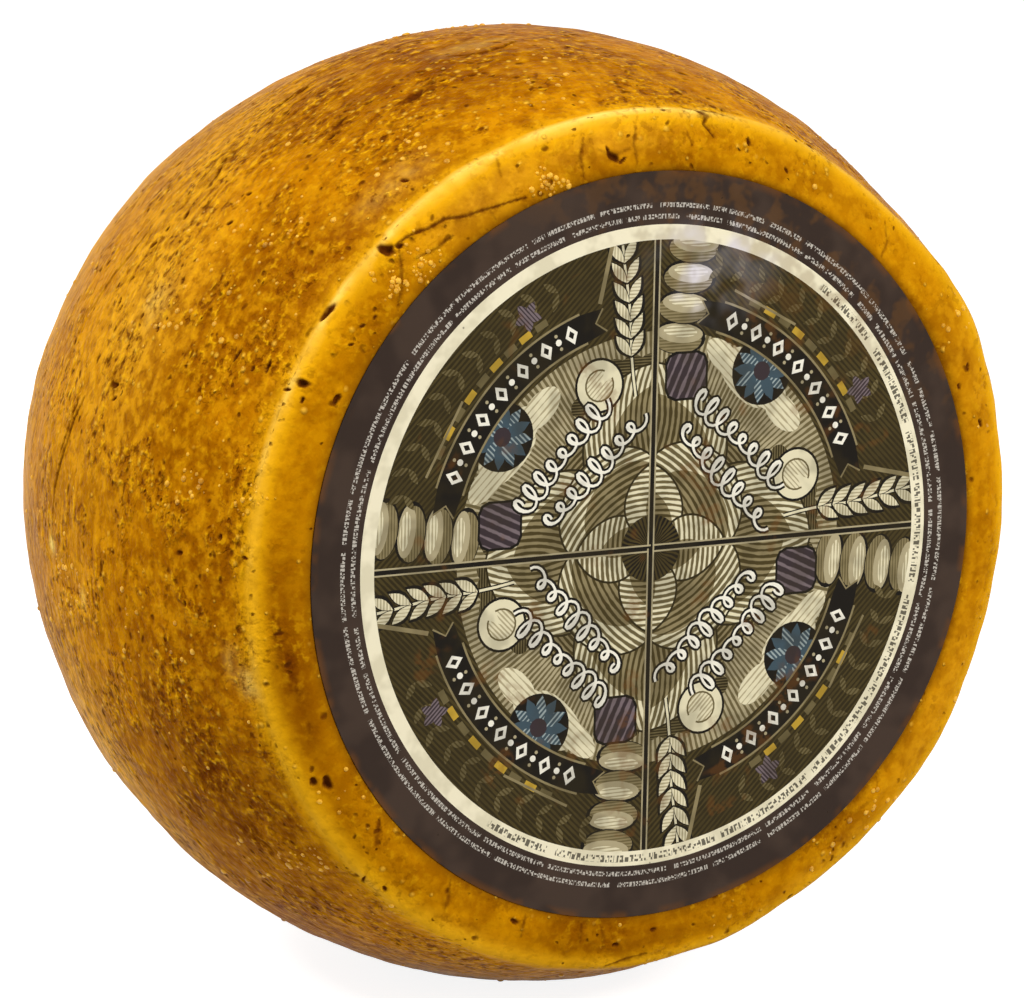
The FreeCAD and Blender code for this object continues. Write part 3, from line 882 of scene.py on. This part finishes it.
# Puts a bubble at random places on the wheel, upright on its surface.
def bubbleTree(ground, pattern, material):
    tree = bpy.data.node_groups.new("coatBubbles", "GeometryNodeTree")
    sockets = tree.interface
    sockets.new_socket("Geometry", in_out="INPUT", socket_type="NodeSocketGeometry")
    for name, kind, key in (("Size", "NodeSocketFloat", "size"), ("Seed", "NodeSocketInt", "seed"),
                            ("Per Square Metre", "NodeSocketFloat", "perSquareMetre")):
        sockets.new_socket(name, in_out="INPUT", socket_type=kind).default_value = bubbles[key]
    sockets.new_socket("Geometry", in_out="OUTPUT", socket_type="NodeSocketGeometry")
    given = tree.nodes.new("NodeGroupInput").outputs
    made = tree.nodes.new("NodeGroupOutput").inputs
    wheelInfo = put(tree, "GeometryNodeObjectInfo", {"Object": ground})
    bubbleInfo = put(tree, "GeometryNodeObjectInfo", {"Object": pattern})
    foam = put(tree, "GeometryNodeInputNamedAttribute", {"Name": "foam"}, data_type="FLOAT")
    spread = put(tree, "GeometryNodeDistributePointsOnFaces",
                 {"Mesh": wheelInfo.outputs["Geometry"], "Seed": given["Seed"],
                  "Density": times(foam.outputs["Attribute"], given["Per Square Metre"])},
                 distribute_method="RANDOM")
    chance = put(tree, "FunctionNodeRandomValue", {2: 0.0, 3: 1.0, "Seed": given["Seed"]}, data_type="FLOAT")
    wide = put(tree, "ShaderNodeMapRange", {"Value": calc("POWER", chance.outputs[1], bubbles["rareness"]),
                                            "To Min": bubbles["smallest"], "To Max": bubbles["largest"]})
    placed = put(tree, "GeometryNodeInstanceOnPoints",
                 {"Points": spread.outputs["Points"], "Instance": bubbleInfo.outputs["Geometry"],
                  "Rotation": spread.outputs["Rotation"], "Scale": times(wide.outputs[0], given["Size"])})
    real = put(tree, "GeometryNodeRealizeInstances", {"Geometry": placed.outputs[0]})
    coated = put(tree, "GeometryNodeSetMaterial", {"Geometry": real.outputs[0], "Material": material})
    feed(made[0], coated.outputs[0])
    return tree


def makeBubbles(material):
    pattern = newObject("oneBubble", bubbleMesh(), material)
    carrier = newObject("bubbleCarrier", bpy.data.meshes.new("bubbleCarrier"), material)
    carrier.modifiers.new("coatBubbles", "NODES").node_group = bubbleTree(cheeseWheel, pattern, material)
    bpy.context.view_layer.update()
    seen = carrier.evaluated_get(bpy.context.evaluated_depsgraph_get())
    mesh = bpy.data.meshes.new_from_object(seen)
    mesh.name = "coatBubbles"
    for spare in (carrier, pattern):
        bpy.data.objects.remove(spare)
    return newObject("coatBubbles", mesh)


def bubbleMaterial():
    material, tree = newMaterial("bubbleCoat")
    place = put(tree, "ShaderNodeTexCoord").outputs["Object"]
    look = useRind(tree, place, "Ring", "Ridge", "Tone", "Stain")
    paler = timesPlus(patchMask(place, 3.0, 0.42, 0.6), 0.5, 0.2)
    finishMaterial(tree, tint(look["Colour"], paler, bubbles["paint"]), bubbles["roughness"], bubbles["shine"],
                   cloud(place, 1400.0, 1.0), bubbles["bump"])
    return material


coatBubbles = makeBubbles(bubbleMaterial())
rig.ride(coatBubbles, "root")
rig.slot(coatBubbles, "rind")
printSize("bubbles:", coatBubbles)


# The label's print is drawn in mm about its own centre, x to the right and y up. One quarter is
# drawn with y outwards along its middle line and x across it, and set down four times.
label = {
    "turn": -1.2,                # degrees that the print sits turned on the face
    "picture": 82.0,             # radius of the printed picture
    "creamRing": 86.0,           # outer radius of the plain ring round it
    "smallRows": (88.1, 91.1),   # radii of the two rows of tiny print
    "edgeSteps": 360,
    "gridStep": 3.4, "rowShare": 0.87, "gridMargin": 1.5,   # points between the shapes, that let the paper swell
    "ripple": 0.07 * millimetre,
    "ripples": ((34, 1.0, 3.7), (9, 0.4, 8.1)),   # mm per swell, share and seed
    "flatEdge": 6.0,             # the swelling fades over this width at the edge
    "smallPrint": (1.25, 1.0),   # height and pitch of its marks
    "tickRow": (84.0, 1.9, 1.5),   # radius, height and pitch of the ring's marks
    "sheenPlace": (18.0, 73.0, 1.4),   # middle of the painted reflection, and how much flatter than round it is
    # paints of 0 to 255 laid over the print, and for a layer how much it covers
    "soot": (52, 43, 22, 0.34), "borderDark": (52, 40, 33), "borderLight": (65, 51, 42),
    "letters": (206, 198, 184, 0.75), "ringLight": (236, 226, 194), "ringDark": (218, 208, 176),
    # the pale lilac white is a painted reflection on the coat
    "ticks": (40, 33, 24, 0.85), "runs": (122, 80, 30, 0.24), "sheen": (222, 216, 224, 1.0),
    "rust": (112, 70, 28, 0.35), "rimStain": (110, 66, 22, 0.5), "pits": (44, 30, 18, 0.7),
    "bump": (0.00025, 0.6), "roughness": 0.4, "shine": 0.06,
}

# printed colours
cream, stone, khaki = paint(222, 212, 176), paint(172, 159, 124), paint(138, 124, 88)
ochreGrey, olive, darkOlive = paint(104, 92, 60), paint(70, 59, 30), paint(46, 38, 18)
ink, chalk, gold = paint(24, 20, 14), paint(236, 230, 212), paint(188, 152, 52)
slateBlue, paleBlue = paint(62, 78, 86), paint(150, 162, 160)
plum, palePlum = paint(56, 46, 48), paint(116, 102, 104)

printPoints, printFaces, printOwners, printStyles = [], [], [], []


# A style holds the light and dark colour, where the hatching lines run, and the light's share.
def newStyle(light, dark=None, lines=None, share=0.5):
    printStyles.append((light, dark or light, lines or (lambda x, y: 0.5), share if lines else 1.0))
    return len(printStyles) - 1


def addFace(points, style):
    area = sum(a[0] * b[1] - b[0] * a[1] for a, b in zip(points, points[1:] + points[:1]))
    if abs(area) < 0.02:
        return
    first = len(printPoints)
    printPoints.extend(points if area > 0 else points[::-1])
    printFaces.append(list(range(first, first + len(points))))
    printOwners.append(style)


# A band along a path with its own width at each point, as a row of triangles.
def addStrip(path, widths, style):
    first = len(printPoints)
    for k, (x, y) in enumerate(path):
        before, after = path[max(k - 1, 0)], path[min(k + 1, len(path) - 1)]
        dx, dy = after[0] - before[0], after[1] - before[1]
        half = widths[k] / 2 / (math.hypot(dx, dy) or 1)
        printPoints.extend(((x - dy * half, y + dx * half), (x + dy * half, y - dx * half)))
    for a in range(first, len(printPoints) - 2):
        corners = [a, a + 1, a + 2]
        (ax, ay), (bx, by), (cx, cy) = (printPoints[k] for k in corners)
        area = (bx - ax) * (cy - ay) - (by - ay) * (cx - ax)
        if abs(area) > 0.001:
            printFaces.append(corners if area > 0 else corners[::-1])
            printOwners.append(style)


def ellipse(x, y, wide, high, turn=0.0, steps=24):
    spin = math.radians(turn)
    points = []
    for k in range(steps):
        angle = k / steps * math.tau
        a, b = wide * math.cos(angle), high * math.sin(angle)
        points.append((x + a * math.cos(spin) - b * math.sin(spin), y + a * math.sin(spin) + b * math.cos(spin)))
    return points


# A leaf or grain: pointed at both ends.
def leaf(x, y, length, width, turn, steps=5):
    spin = math.radians(turn)
    edge = [(k / steps * length, width / 2 * math.sin(k / steps * math.pi)) for k in range(steps + 1)]
    outline = edge + [(a, -b) for a, b in edge[-2:0:-1]]
    return [(x + a * math.cos(spin) - b * math.sin(spin), y + a * math.sin(spin) + b * math.cos(spin))
            for a, b in outline]


# Keep the part of a shape on the inner side of a line through the centre.
def cutBehind(points, normal):
    kept = []
    for (ax, ay), (bx, by) in zip(points, points[1:] + points[:1]):
        a, b = ax * normal[0] + ay * normal[1], bx * normal[0] + by * normal[1]
        if a >= 0:
            kept.append((ax, ay))
        if (a < 0) != (b < 0):
            t = a / (a - b)
            kept.append((ax + (bx - ax) * t, ay + (by - ay) * t))
    return kept


def cutToQuarter(points):
    for normal in ((0.7071, 0.7071), (-0.7071, 0.7071)):
        points = cutBehind(points, normal) if len(points) > 2 else []
    return points


# The quarter's own drawing, with y running outwards along its middle line.
def drawQuarter(turnPoint, unturn):
    def style(light, dark=None, lines=None, share=0.5):
        return newStyle(light, dark, lines and (lambda x, y: lines(*unturn(x, y))), share)

    def face(points, look):
        points = cutToQuarter(points)
        if len(points) > 2:
            addFace([turnPoint(*point) for point in points], look)

    def strip(path, widths, look):
        addStrip([turnPoint(*point) for point in path], widths, look)

    def polar(radius, angle):
        return radius * math.sin(math.radians(angle)), radius * math.cos(math.radians(angle))

    def arc(radius, start, end, steps):
        return [polar(radius, start + (end - start) * k / steps) for k in range(steps + 1)]

    def ring(inner, outer, start, end, look, steps=24):
        face(arc(inner, start, end, steps) + arc(outer, start, end, steps)[::-1], look)

    # ground, rays of the sky and the field behind the hills
    ring(2, 84, -45, 45, style(olive, darkOlive, lambda x, y: y / 1.25, 0.5), 30)
    ring(34, 58, -45, 45, style(stone, ochreGrey, lambda x, y: math.degrees(math.atan2(x, y)) * 0.62, 0.5))
    ring(12, 40, -45, 45, style(khaki, olive, lambda x, y: math.hypot(x, y) / 1.4, 0.5))
    for x, y, wide, high in ((-20, 50, 7, 3.6), (-13, 52.5, 7, 4.6), (-5, 53, 8, 5), (4, 52, 7, 4),
                             (-11, 48.5, 9, 3)):
        face(ellipse(x, y, wide, high, steps=18), style(cream, stone, lambda x, y: y / 1.5, 0.72))
    for x, y, size in ((24, 42, 5), (29, 39, 4.4), (18.5, 43, 4), (-29, 37, 4.6), (-24, 41, 4), (33, 36, 3.6),
                       (12, 43.5, 3)):
        face(ellipse(x, y, size, size * 0.85, steps=16),
             style(ochreGrey, darkOlive, lambda x, y: (x + y) / 1.1, 0.45))

    # rolling hills with curving furrows
    hills = [(-19, 25, 21, 15, (-44, 8), 1.7), (20, 24, 20, 16, (46, 4), 1.6), (0, 17, 17, 14, (-6, -16), 1.7),
             (-10, 8, 12, 9, (14, -12), 1.5), (11, 8, 11, 9, (-16, -14), 1.5)]
    for x, y, wide, high, (fx, fy), gap in hills:
        furrows = (lambda fx, fy, gap: lambda x, y: math.hypot(x - fx, y - fy) / gap)(fx, fy, gap)
        face(ellipse(x, y, wide + 0.6, high + 0.6, steps=40), style(darkOlive))
        face(ellipse(x, y, wide, high, steps=40), style(cream, ochreGrey, furrows, 0.46))
        face(ellipse(x + 2.5, y - 3.5, wide * 0.82, high * 0.78, steps=36), style(khaki, olive, furrows, 0.5))
    face(ellipse(0, 0, 9, 9, steps=24), style(olive, ink, lambda x, y: math.degrees(math.atan2(x, y)) * 0.12, 0.5))

    # a shelf of small round cheeses beside one arm of the cross
    for k in range(4):
        x, y = -34.5 - 4.6 * k, 44.5 + 6.6 * k
        tilt = 38
        face(ellipse(x, y, 8.2, 4.6, tilt, 22), style(ink))
        face(ellipse(x, y - 0.6, 7.4, 3.8, tilt, 22), style(khaki, ochreGrey, lambda x, y: (x - y) / 1.2, 0.5))
        face(ellipse(x - 0.5, y + 1.0, 7.0, 2.6, tilt, 22), style(stone))
        face(ellipse(x - 0.8, y + 1.4, 5.2, 1.5, tilt, 18), style(cream, stone, lambda x, y: (x - y) / 1.4, 0.6))

    # a sheaf of wheat beside the other arm
    stem = [(25 + 3.1 * k, 33 + 3.9 * k + 0.5 * math.sin(k)) for k in range(11)]
    strip(stem, [1.4] * len(stem), style(ink))
    strip(stem, [0.7] * len(stem), style(cream))
    for k in range(2, 11):
        x, y = stem[k]
        for side in (-1, 1):
            face(leaf(x, y, 8.6, 4.0, 52 + side * 34), style(ink))
            face(leaf(x + 0.3, y + 0.4, 7.4, 2.7, 52 + side * 34),
                 style(cream, stone, (lambda side: lambda x, y: (x * side - y) / 1.3)(side), 0.62))

    # a cornflower partly behind the ribbon
    x, y = polar(56, -9)
    face(ellipse(x, y, 9.2, 9.2, steps=28), style(ink))
    for k in range(12):
        face(leaf(x, y, 8.8, 3.6, k * 30 + 8, 4),
             style(slateBlue if k % 2 else paleBlue, slateBlue, lambda x, y: x / 1.1, 0.4))
    face(ellipse(x, y, 2.6, 2.6, steps=12), style(plum))

    # the ribbon with its beads and lozenges, and gold dashes outside it
    ring(59.2, 68.0, -27, 25, style(khaki))
    ring(59.8, 67.4, -27, 25, style(ink), 28)
    for end, way in ((-27, -1), (25, 1)):
        fork = [polar(59.8, end), polar(60.6, end + way * 6), polar(63.6, end + way * 3.4),
                polar(66.8, end + way * 6), polar(67.4, end)]
        face(fork, style(ink))
        strip(fork[1:4], [0.5] * 3, style(khaki))
    for k in range(13):
        angle = -23.5 + k * 3.75
        x, y = polar(63.6, angle)
        if k % 2:
            face(ellipse(x, y, 0.9, 0.9, steps=10), style(chalk))
            for shift in (-1.9, 1.9):
                face(ellipse(*polar(63.6 + shift, angle), 0.5, 0.5, steps=8), style(stone))
        else:
            inner, outer = polar(60.9, angle), polar(66.3, angle)
            face([inner, polar(63.6, angle + 1.75), outer, polar(63.6, angle - 1.75)], style(chalk))
            face([polar(62.4, angle), polar(63.6, angle + 0.8), polar(64.8, angle), polar(63.6, angle - 0.8)],
                 style(ink))
    for k in range(9):
        ring(69.3, 71.2, -21 + k * 4.4, -17.9 + k * 4.4, style(gold if k % 2 else ochreGrey), 3)

    # outer field: sprigs that follow the ring, a faint flower and a plain rule
    for k in range(11):
        angle = -30 + k * 5.2
        x, y = polar(76.4 + 0.8 * math.sin(k * 1.7), angle)
        for side in (-1, 1):
            face(leaf(x, y, 5.2, 2.0, 90 - angle + side * 38 + 180 * (side < 0), 4),
                 style(ochreGrey, olive, lambda x, y: y, 0.5))
    x, y = polar(74.6, 14)
    for k in range(5):
        face(leaf(x, y, 4.2, 2.6, k * 72 + 20, 4), style(palePlum, plum, lambda x, y: x / 0.9, 0.5))
    strip([polar(68.2, 30.5), polar(82.5, 35.5)], [1.2, 1.2], style(khaki))
    strip([polar(71.5, -25.5), polar(71.5, -8)], [0.7, 0.7], style(khaki))

    # a cream seal with a cut cheese, and a hatched plum tile
    x, y = polar(47.5, 24.5)
    face(ellipse(x, y, 7.4, 7.4, steps=28), style(ink))
    face(ellipse(x, y, 6.7, 6.7, steps=28), style(cream))
    face(ellipse(x, y, 4.4, 4.4, steps=20), style(ochreGrey))
    face(ellipse(x, y, 3.9, 3.9, steps=20), style(stone, cream, lambda x, y: y, 0.4))
    face([(x, y), (x + 5.2, y + 2.4), (x + 5.2, y - 1.6)], style(cream))
    x, y = polar(46.5, -33)
    tile = [(x + 7.2 * math.cos(t / 20 * math.tau) * (1 + 0.1 * math.cos(t / 20 * math.tau * 4)),
             y + 7.2 * math.sin(t / 20 * math.tau) * (1 + 0.1 * math.cos(t / 20 * math.tau * 4))) for t in range(20)]
    face(tile, style(ink))
    face([(x + (a - x) * 0.9, y + (b - y) * 0.9) for a, b in tile],
         style(palePlum, plum, lambda x, y: (x * 0.94 + y * 0.34) / 2.3, 0.36))

    # two rows of flourish in chalk with a dark edge
    for base, start, end, loops, tilt in ((37.5, -19, 17, 8, 0.05), (28.5, -16, 22, 8, -0.04)):
        path, wide = [], []
        steps = loops * 14
        for k in range(steps + 1):
            t = k / steps
            swing = t * loops * math.tau
            tall = 2.5 + 0.9 * math.sin(t * 9 + base)
            path.append((start + (end - start) * t + 1.9 * math.cos(swing),
                         base + tilt * k / 4 + tall * math.sin(swing)))
            wide.append(0.7 + 0.55 * max(0, -math.cos(swing + 0.6)))
        strip(path, [w + 1.3 for w in wide], style(ink))
        strip(path, wide, style(chalk))


# Two functions that turn a place about the centre, one way and back.
def turning(degrees):
    c, s = math.cos(math.radians(degrees)), math.sin(math.radians(degrees))
    return (lambda x, y: (x * c - y * s, x * s + y * c)), (lambda x, y: (x * c + y * s, y * c - x * s))


def drawPrint():
    addFace(ellipse(0, 0, 99.2, 99.2, steps=120), newStyle(olive))
    for quarter in range(4):
        drawQuarter(*turning(quarter * 90 - 45 + label["turn"]))
    for quarter in range(4):
        angle = math.radians(quarter * 90 + label["turn"])
        path = [(r * math.cos(angle), r * math.sin(angle)) for r in np.linspace(0, 83, 8)]
        addStrip(path, [2.1] * 8, newStyle(stone))
        addStrip(path, [1.2] * 8, newStyle(ink))


# Cut the whole drawing into triangles that each belong to the topmost shape over them.
def buildLabelMesh():
    drawPrint()
    radius = labelRadius / millimetre
    steps = label["edgeSteps"]
    edge = ellipse(0, 0, radius, radius, steps=steps)
    grid, gap = [], label["gridStep"]
    for row in range(int(-radius / gap), int(radius / gap) + 1):
        for column in range(int(-radius / gap), int(radius / gap) + 1):
            x, y = (column + row % 2 / 2) * gap, row * gap * label["rowShare"]
            if math.hypot(x, y) < radius - label["gridMargin"]:
                grid.append((x, y))
    points = [Vector(p) for p in printPoints + edge + grid]
    first = len(printPoints)
    faces = printFaces + [list(range(first, first + steps))]
    verts, _, cells, _, _, owners = delaunay_2d_cdt(points, [], faces, 1, 0.001)
    builder = bmesh.new()
    made = []
    for x, y in verts:
        swell = sum(share * noise.noise(Vector((x / size, y / size, seed))) for size, share, seed in label["ripples"])
        fade = min(1, max(0, (radius - math.hypot(x, y)) / label["flatEdge"]))
        made.append(builder.verts.new((labelCentre.x + x * millimetre, labelLow.y + label["ripple"] * swell * fade,
                                       labelCentre.z + y * millimetre)))
    colours = {name: builder.loops.layers.float_color.new(name) for name in ("light", "dark")}
    numbers = {name: builder.loops.layers.float.new(name) for name in ("lines", "share")}
    for cell, owner in zip(cells, owners):
        if len(set(cell)) < 3:
            continue
        styles = [printOwners[k] for k in owner if k < len(printFaces)]
        light, dark, lines, share = printStyles[max(styles)] if styles else (olive, olive, lambda x, y: 0.5, 1.0)
        try:
            face = builder.faces.new([made[k] for k in cell])
        except ValueError:
            continue
        for loop, k in zip(face.loops, cell):
            loop[colours["light"]], loop[colours["dark"]] = (*light, 1), (*dark, 1)
            loop[numbers["lines"]], loop[numbers["share"]] = lines(*verts[k]), share
    rim = [edge for edge in builder.edges if len(edge.link_faces) == 1]
    below = bmesh.ops.extrude_edge_only(builder, edges=rim)["geom"]
    lower = [item for item in below if isinstance(item, bmesh.types.BMVert)]
    for vertex in lower:
        vertex.co.y = labelHigh.y
    bmesh.ops.contextual_create(builder, geom=[item for item in below if isinstance(item, bmesh.types.BMEdge) and
                                               all(v in lower for v in item.verts)])
    bmesh.ops.remove_doubles(builder, verts=builder.verts, dist=0.003 * millimetre)
    bmesh.ops.recalc_face_normals(builder, faces=builder.faces)
    loose = [vertex for vertex in builder.verts if not vertex.link_faces]
    bmesh.ops.delete(builder, geom=loose, context="VERTS")
    return meshFrom(builder, "faceLabel")


# Rows of tiny marks that read as small print: radius of the row's middle, height and pitch in mm.
def smallPrint(turn, radius, middle, height, pitch):
    tree, place = turn.id_data, times(turn, round(math.tau * middle / pitch) / math.tau)
    cell = put(tree, "ShaderNodeCombineXYZ", {"X": calc("FLOOR", times(place, 3.0)),
                                              "Y": calc("FLOOR", times(radius, 3 / height)), "Z": middle})
    stroke = put(tree, "ShaderNodeTexWhiteNoise", {"Vector": cell.outputs[0]}, noise_dimensions="3D")
    word = put(tree, "ShaderNodeTexNoise", {"W": timesPlus(place, 0.23, middle), "Scale": 1.0, "Detail": 0.0},
               noise_dimensions="1D")
    within = calc("LESS_THAN", calc("ABSOLUTE", minus(radius, middle)), height / 2)
    gap = calc("LESS_THAN", calc("FRACT", place), 0.78)
    drawn = calc("GREATER_THAN", stroke.outputs["Value"], 0.42)
    return times(times(drawn, gap), times(remap(word.outputs["Fac"], 0.28, 0.31), within))


def radiusOf(x, y):
    return calc("SQRT", timesPlus(x, x, times(y, y)))


def labelMaterial():
    material, tree = newMaterial("labelPaper")
    place = put(tree, "ShaderNodeTexCoord").outputs["Object"]
    axes = put(tree, "ShaderNodeSeparateXYZ", {"Vector": place}).outputs
    x = times(minus(axes[0], labelCentre.x), 1 / millimetre)
    y = times(minus(axes[2], labelCentre.z), 1 / millimetre)
    radius = radiusOf(x, y)
    turn = calc("ADD", calc("ARCTAN2", y, x), math.pi)

    # hatched picture
    wave = times(calc("ABSOLUTE", minus(calc("FRACT", attribute(tree, "lines")), 0.5)), 2.0)
    wobble = times(minus(cloud(place, 260.0, 2.0), 0.5), 0.9)
    dotted = remap(minus(calc("ADD", attribute(tree, "share"), wobble), wave), -0.14, 0.14)
    picture = mixColour(dotted, attribute(tree, "dark", "Color"), attribute(tree, "light", "Color"))
    picture = tint(picture, patchMask(place, 9, 0.4, 0.64), label["soot"])

    # plain border with its rows of tiny print, and the cream ring
    border = mixColour(patchMask(place, 16, 0.4, 0.62), paint(*label["borderDark"]), paint(*label["borderLight"]))
    letters = [smallPrint(turn, radius, middle, *label["smallPrint"]) for middle in label["smallRows"]]
    border = tint(border, calc("MAXIMUM", *letters), label["letters"])
    ring = mixColour(patchMask(place, 7, 0.4, 0.6), paint(*label["ringLight"]), paint(*label["ringDark"]))
    lowerRight = remap(timesPlus(y, -0.75, x), 2.0, 4.0)
    ring = tint(ring, times(smallPrint(turn, radius, *label["tickRow"]), lowerRight), label["ticks"])
    colour = mixColour(calc("GREATER_THAN", radius, label["picture"]), picture, ring)
    colour = mixColour(calc("GREATER_THAN", radius, label["creamRing"]), colour, border)

    # the clear coat over it: amber runs, a painted pale reflection, rust, a stained edge and small pits
    topRight = remap(timesPlus(x, 0.5, y), 62.0, 96.0)
    colour = tint(colour, times(patchMask(place, 7, 0.48, 0.62), topRight), label["runs"])
    # painted reflection: a pale sheen on the coat near the top, stronger over light print
    sheenX, sheenY, flatness = label["sheenPlace"]
    sheen = remap(radiusOf(minus(x, sheenX), times(minus(y, sheenY), flatness)), 26.0, 6.0)
    lightness = put(tree, "ShaderNodeRGBToBW", {"Color": colour}).outputs[0]
    sheen = times(times(sheen, patchMask(place, 12, 0.38, 0.6)), remap(lightness, 0.06, 0.4, 0.12, 0.8))
    rust = times(times(patchMask(place, 12, 0.58, 0.68), patchMask(place, 3.0, 0.4, 0.56)),
                 calc("LESS_THAN", radius, label["picture"] - 4))
    rimStain = times(remap(radius, 97.5, 100.0), patchMask(place, 11, 0.46, 0.6))
    pits = speckMask(place, 7.0, 1.3, 0.3)
    for mask, name in ((sheen, "sheen"), (rust, "rust"), (rimStain, "rimStain"), (pits, "pits")):
        colour = tint(colour, mask, label[name])
    height = timesPlus(pits, -0.6, cloud(place, 170.0))
    finishMaterial(tree, colour, label["roughness"], label["shine"], height, label["bump"])
    return material


faceLabel = newObject("faceLabel", buildLabelMesh(), labelMaterial())
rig.ride(faceLabel, "root")
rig.replaces(faceLabel, "face_label")
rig.slot(faceLabel, "label_paper")
printSize("label:", faceLabel)


studio = {
    "azimuth": -28.87, "elevation": 11.38, "distance": 1.3787, "lens": 175.4,
    "aimRight": 0.0004, "aimUp": 0.0004,        # from the middle of the cheese
    "sensorWidth": 36, "clip": (0.05, 20),
    "floorReach": 3, "floorGrey": 0.55,
    "floorGlow": 0.88, "air": 0.38,             # light of the floor itself, and light from all around
    "lampSize": 0.5, "lampAim": (0, 0, 0.13),
    "lamps": {"leftLight": ((-1.0, 0.0, 1.25), 17), "frontLight": ((0.5, -1.2, 0.95), 15)},   # place and watts
}


def makeCamera():
    data = bpy.data.cameras.new("camera")
    data.lens, data.sensor_width = studio["lens"], studio["sensorWidth"]
    data.clip_start, data.clip_end = studio["clip"]
    turn, lift = math.radians(studio["azimuth"]), math.radians(studio["elevation"])
    back = Vector((math.sin(turn) * math.cos(lift), -math.cos(turn) * math.cos(lift), math.sin(lift)))
    right = Vector((0, 0, 1)).cross(back).normalized()
    up = back.cross(right)
    place = (cadLow + cadHigh) / 2 + right * studio["aimRight"] + up * studio["aimUp"] + back * studio["distance"]
    camera = newObject("camera", data)
    camera.matrix_world = Matrix.Translation(place) @ Matrix((right, up, back)).transposed().to_4x4()
    bpy.context.scene.camera = camera


# 1 where the camera looks, straight or in a glint, and 0 for light that falls on things.
def seenShare(tree):
    path = put(tree, "ShaderNodeLightPath").outputs
    return calc("MAXIMUM", path["Is Camera Ray"], calc("MAXIMUM", path["Is Glossy Ray"], path["Is Transmission Ray"]))


def makeFloor():
    reach, grey = studio["floorReach"], studio["floorGrey"]
    mesh = bpy.data.meshes.new("floor")
    mesh.from_pydata([(-reach, -reach, 0), (reach, -reach, 0), (reach, reach, 0), (-reach, reach, 0)], [],
                     [(0, 1, 2, 3)])
    material, tree = newMaterial("floorWhite")
    matte = put(tree, "ShaderNodeBsdfDiffuse", {"Color": (grey, grey, grey)})
    glow = put(tree, "ShaderNodeEmission", {"Color": (1, 1, 1),
                                            "Strength": times(seenShare(tree), studio["floorGlow"])})
    both = put(tree, "ShaderNodeAddShader", {0: matte.outputs[0], 1: glow.outputs[0]})
    put(tree, "ShaderNodeOutputMaterial", {"Surface": both.outputs[0]})
    floor = newObject("floor", mesh, material)
    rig.stage(floor)


def makeWorld():
    world = bpy.data.worlds.new("studio")
    world.use_nodes = True
    bpy.context.scene.world = world
    tree = world.node_tree
    tree.nodes.clear()
    air, white = (put(tree, "ShaderNodeBackground", {"Color": (1, 1, 1), "Strength": strength}).outputs[0]
                  for strength in (studio["air"], 1.0))
    mix = put(tree, "ShaderNodeMixShader", {0: seenShare(tree), 1: air, 2: white})
    put(tree, "ShaderNodeOutputWorld", {"Surface": mix.outputs[0]})


def makeLamp(name, place, power):
    data = bpy.data.lights.new(name, "AREA")
    data.size, data.energy = studio["lampSize"], power
    direction = Vector(studio["lampAim"]) - Vector(place)
    lamp = newObject(name, data)
    lamp.matrix_world = Matrix.Translation(place) @ direction.to_track_quat("-Z", "Y").to_matrix().to_4x4()


makeCamera()
makeFloor()
makeWorld()
for lampName, (lampPlace, lampPower) in studio["lamps"].items():
    makeLamp(lampName, lampPlace, lampPower)

bpy.context.scene.view_settings.view_transform = "Standard"
visualLow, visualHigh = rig.bounds()
with open("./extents.json", "w") as sizeFile:
    json.dump({"cad": [list(cadLow), list(cadHigh)], "visual": [list(visualLow), list(visualHigh)]}, sizeFile)
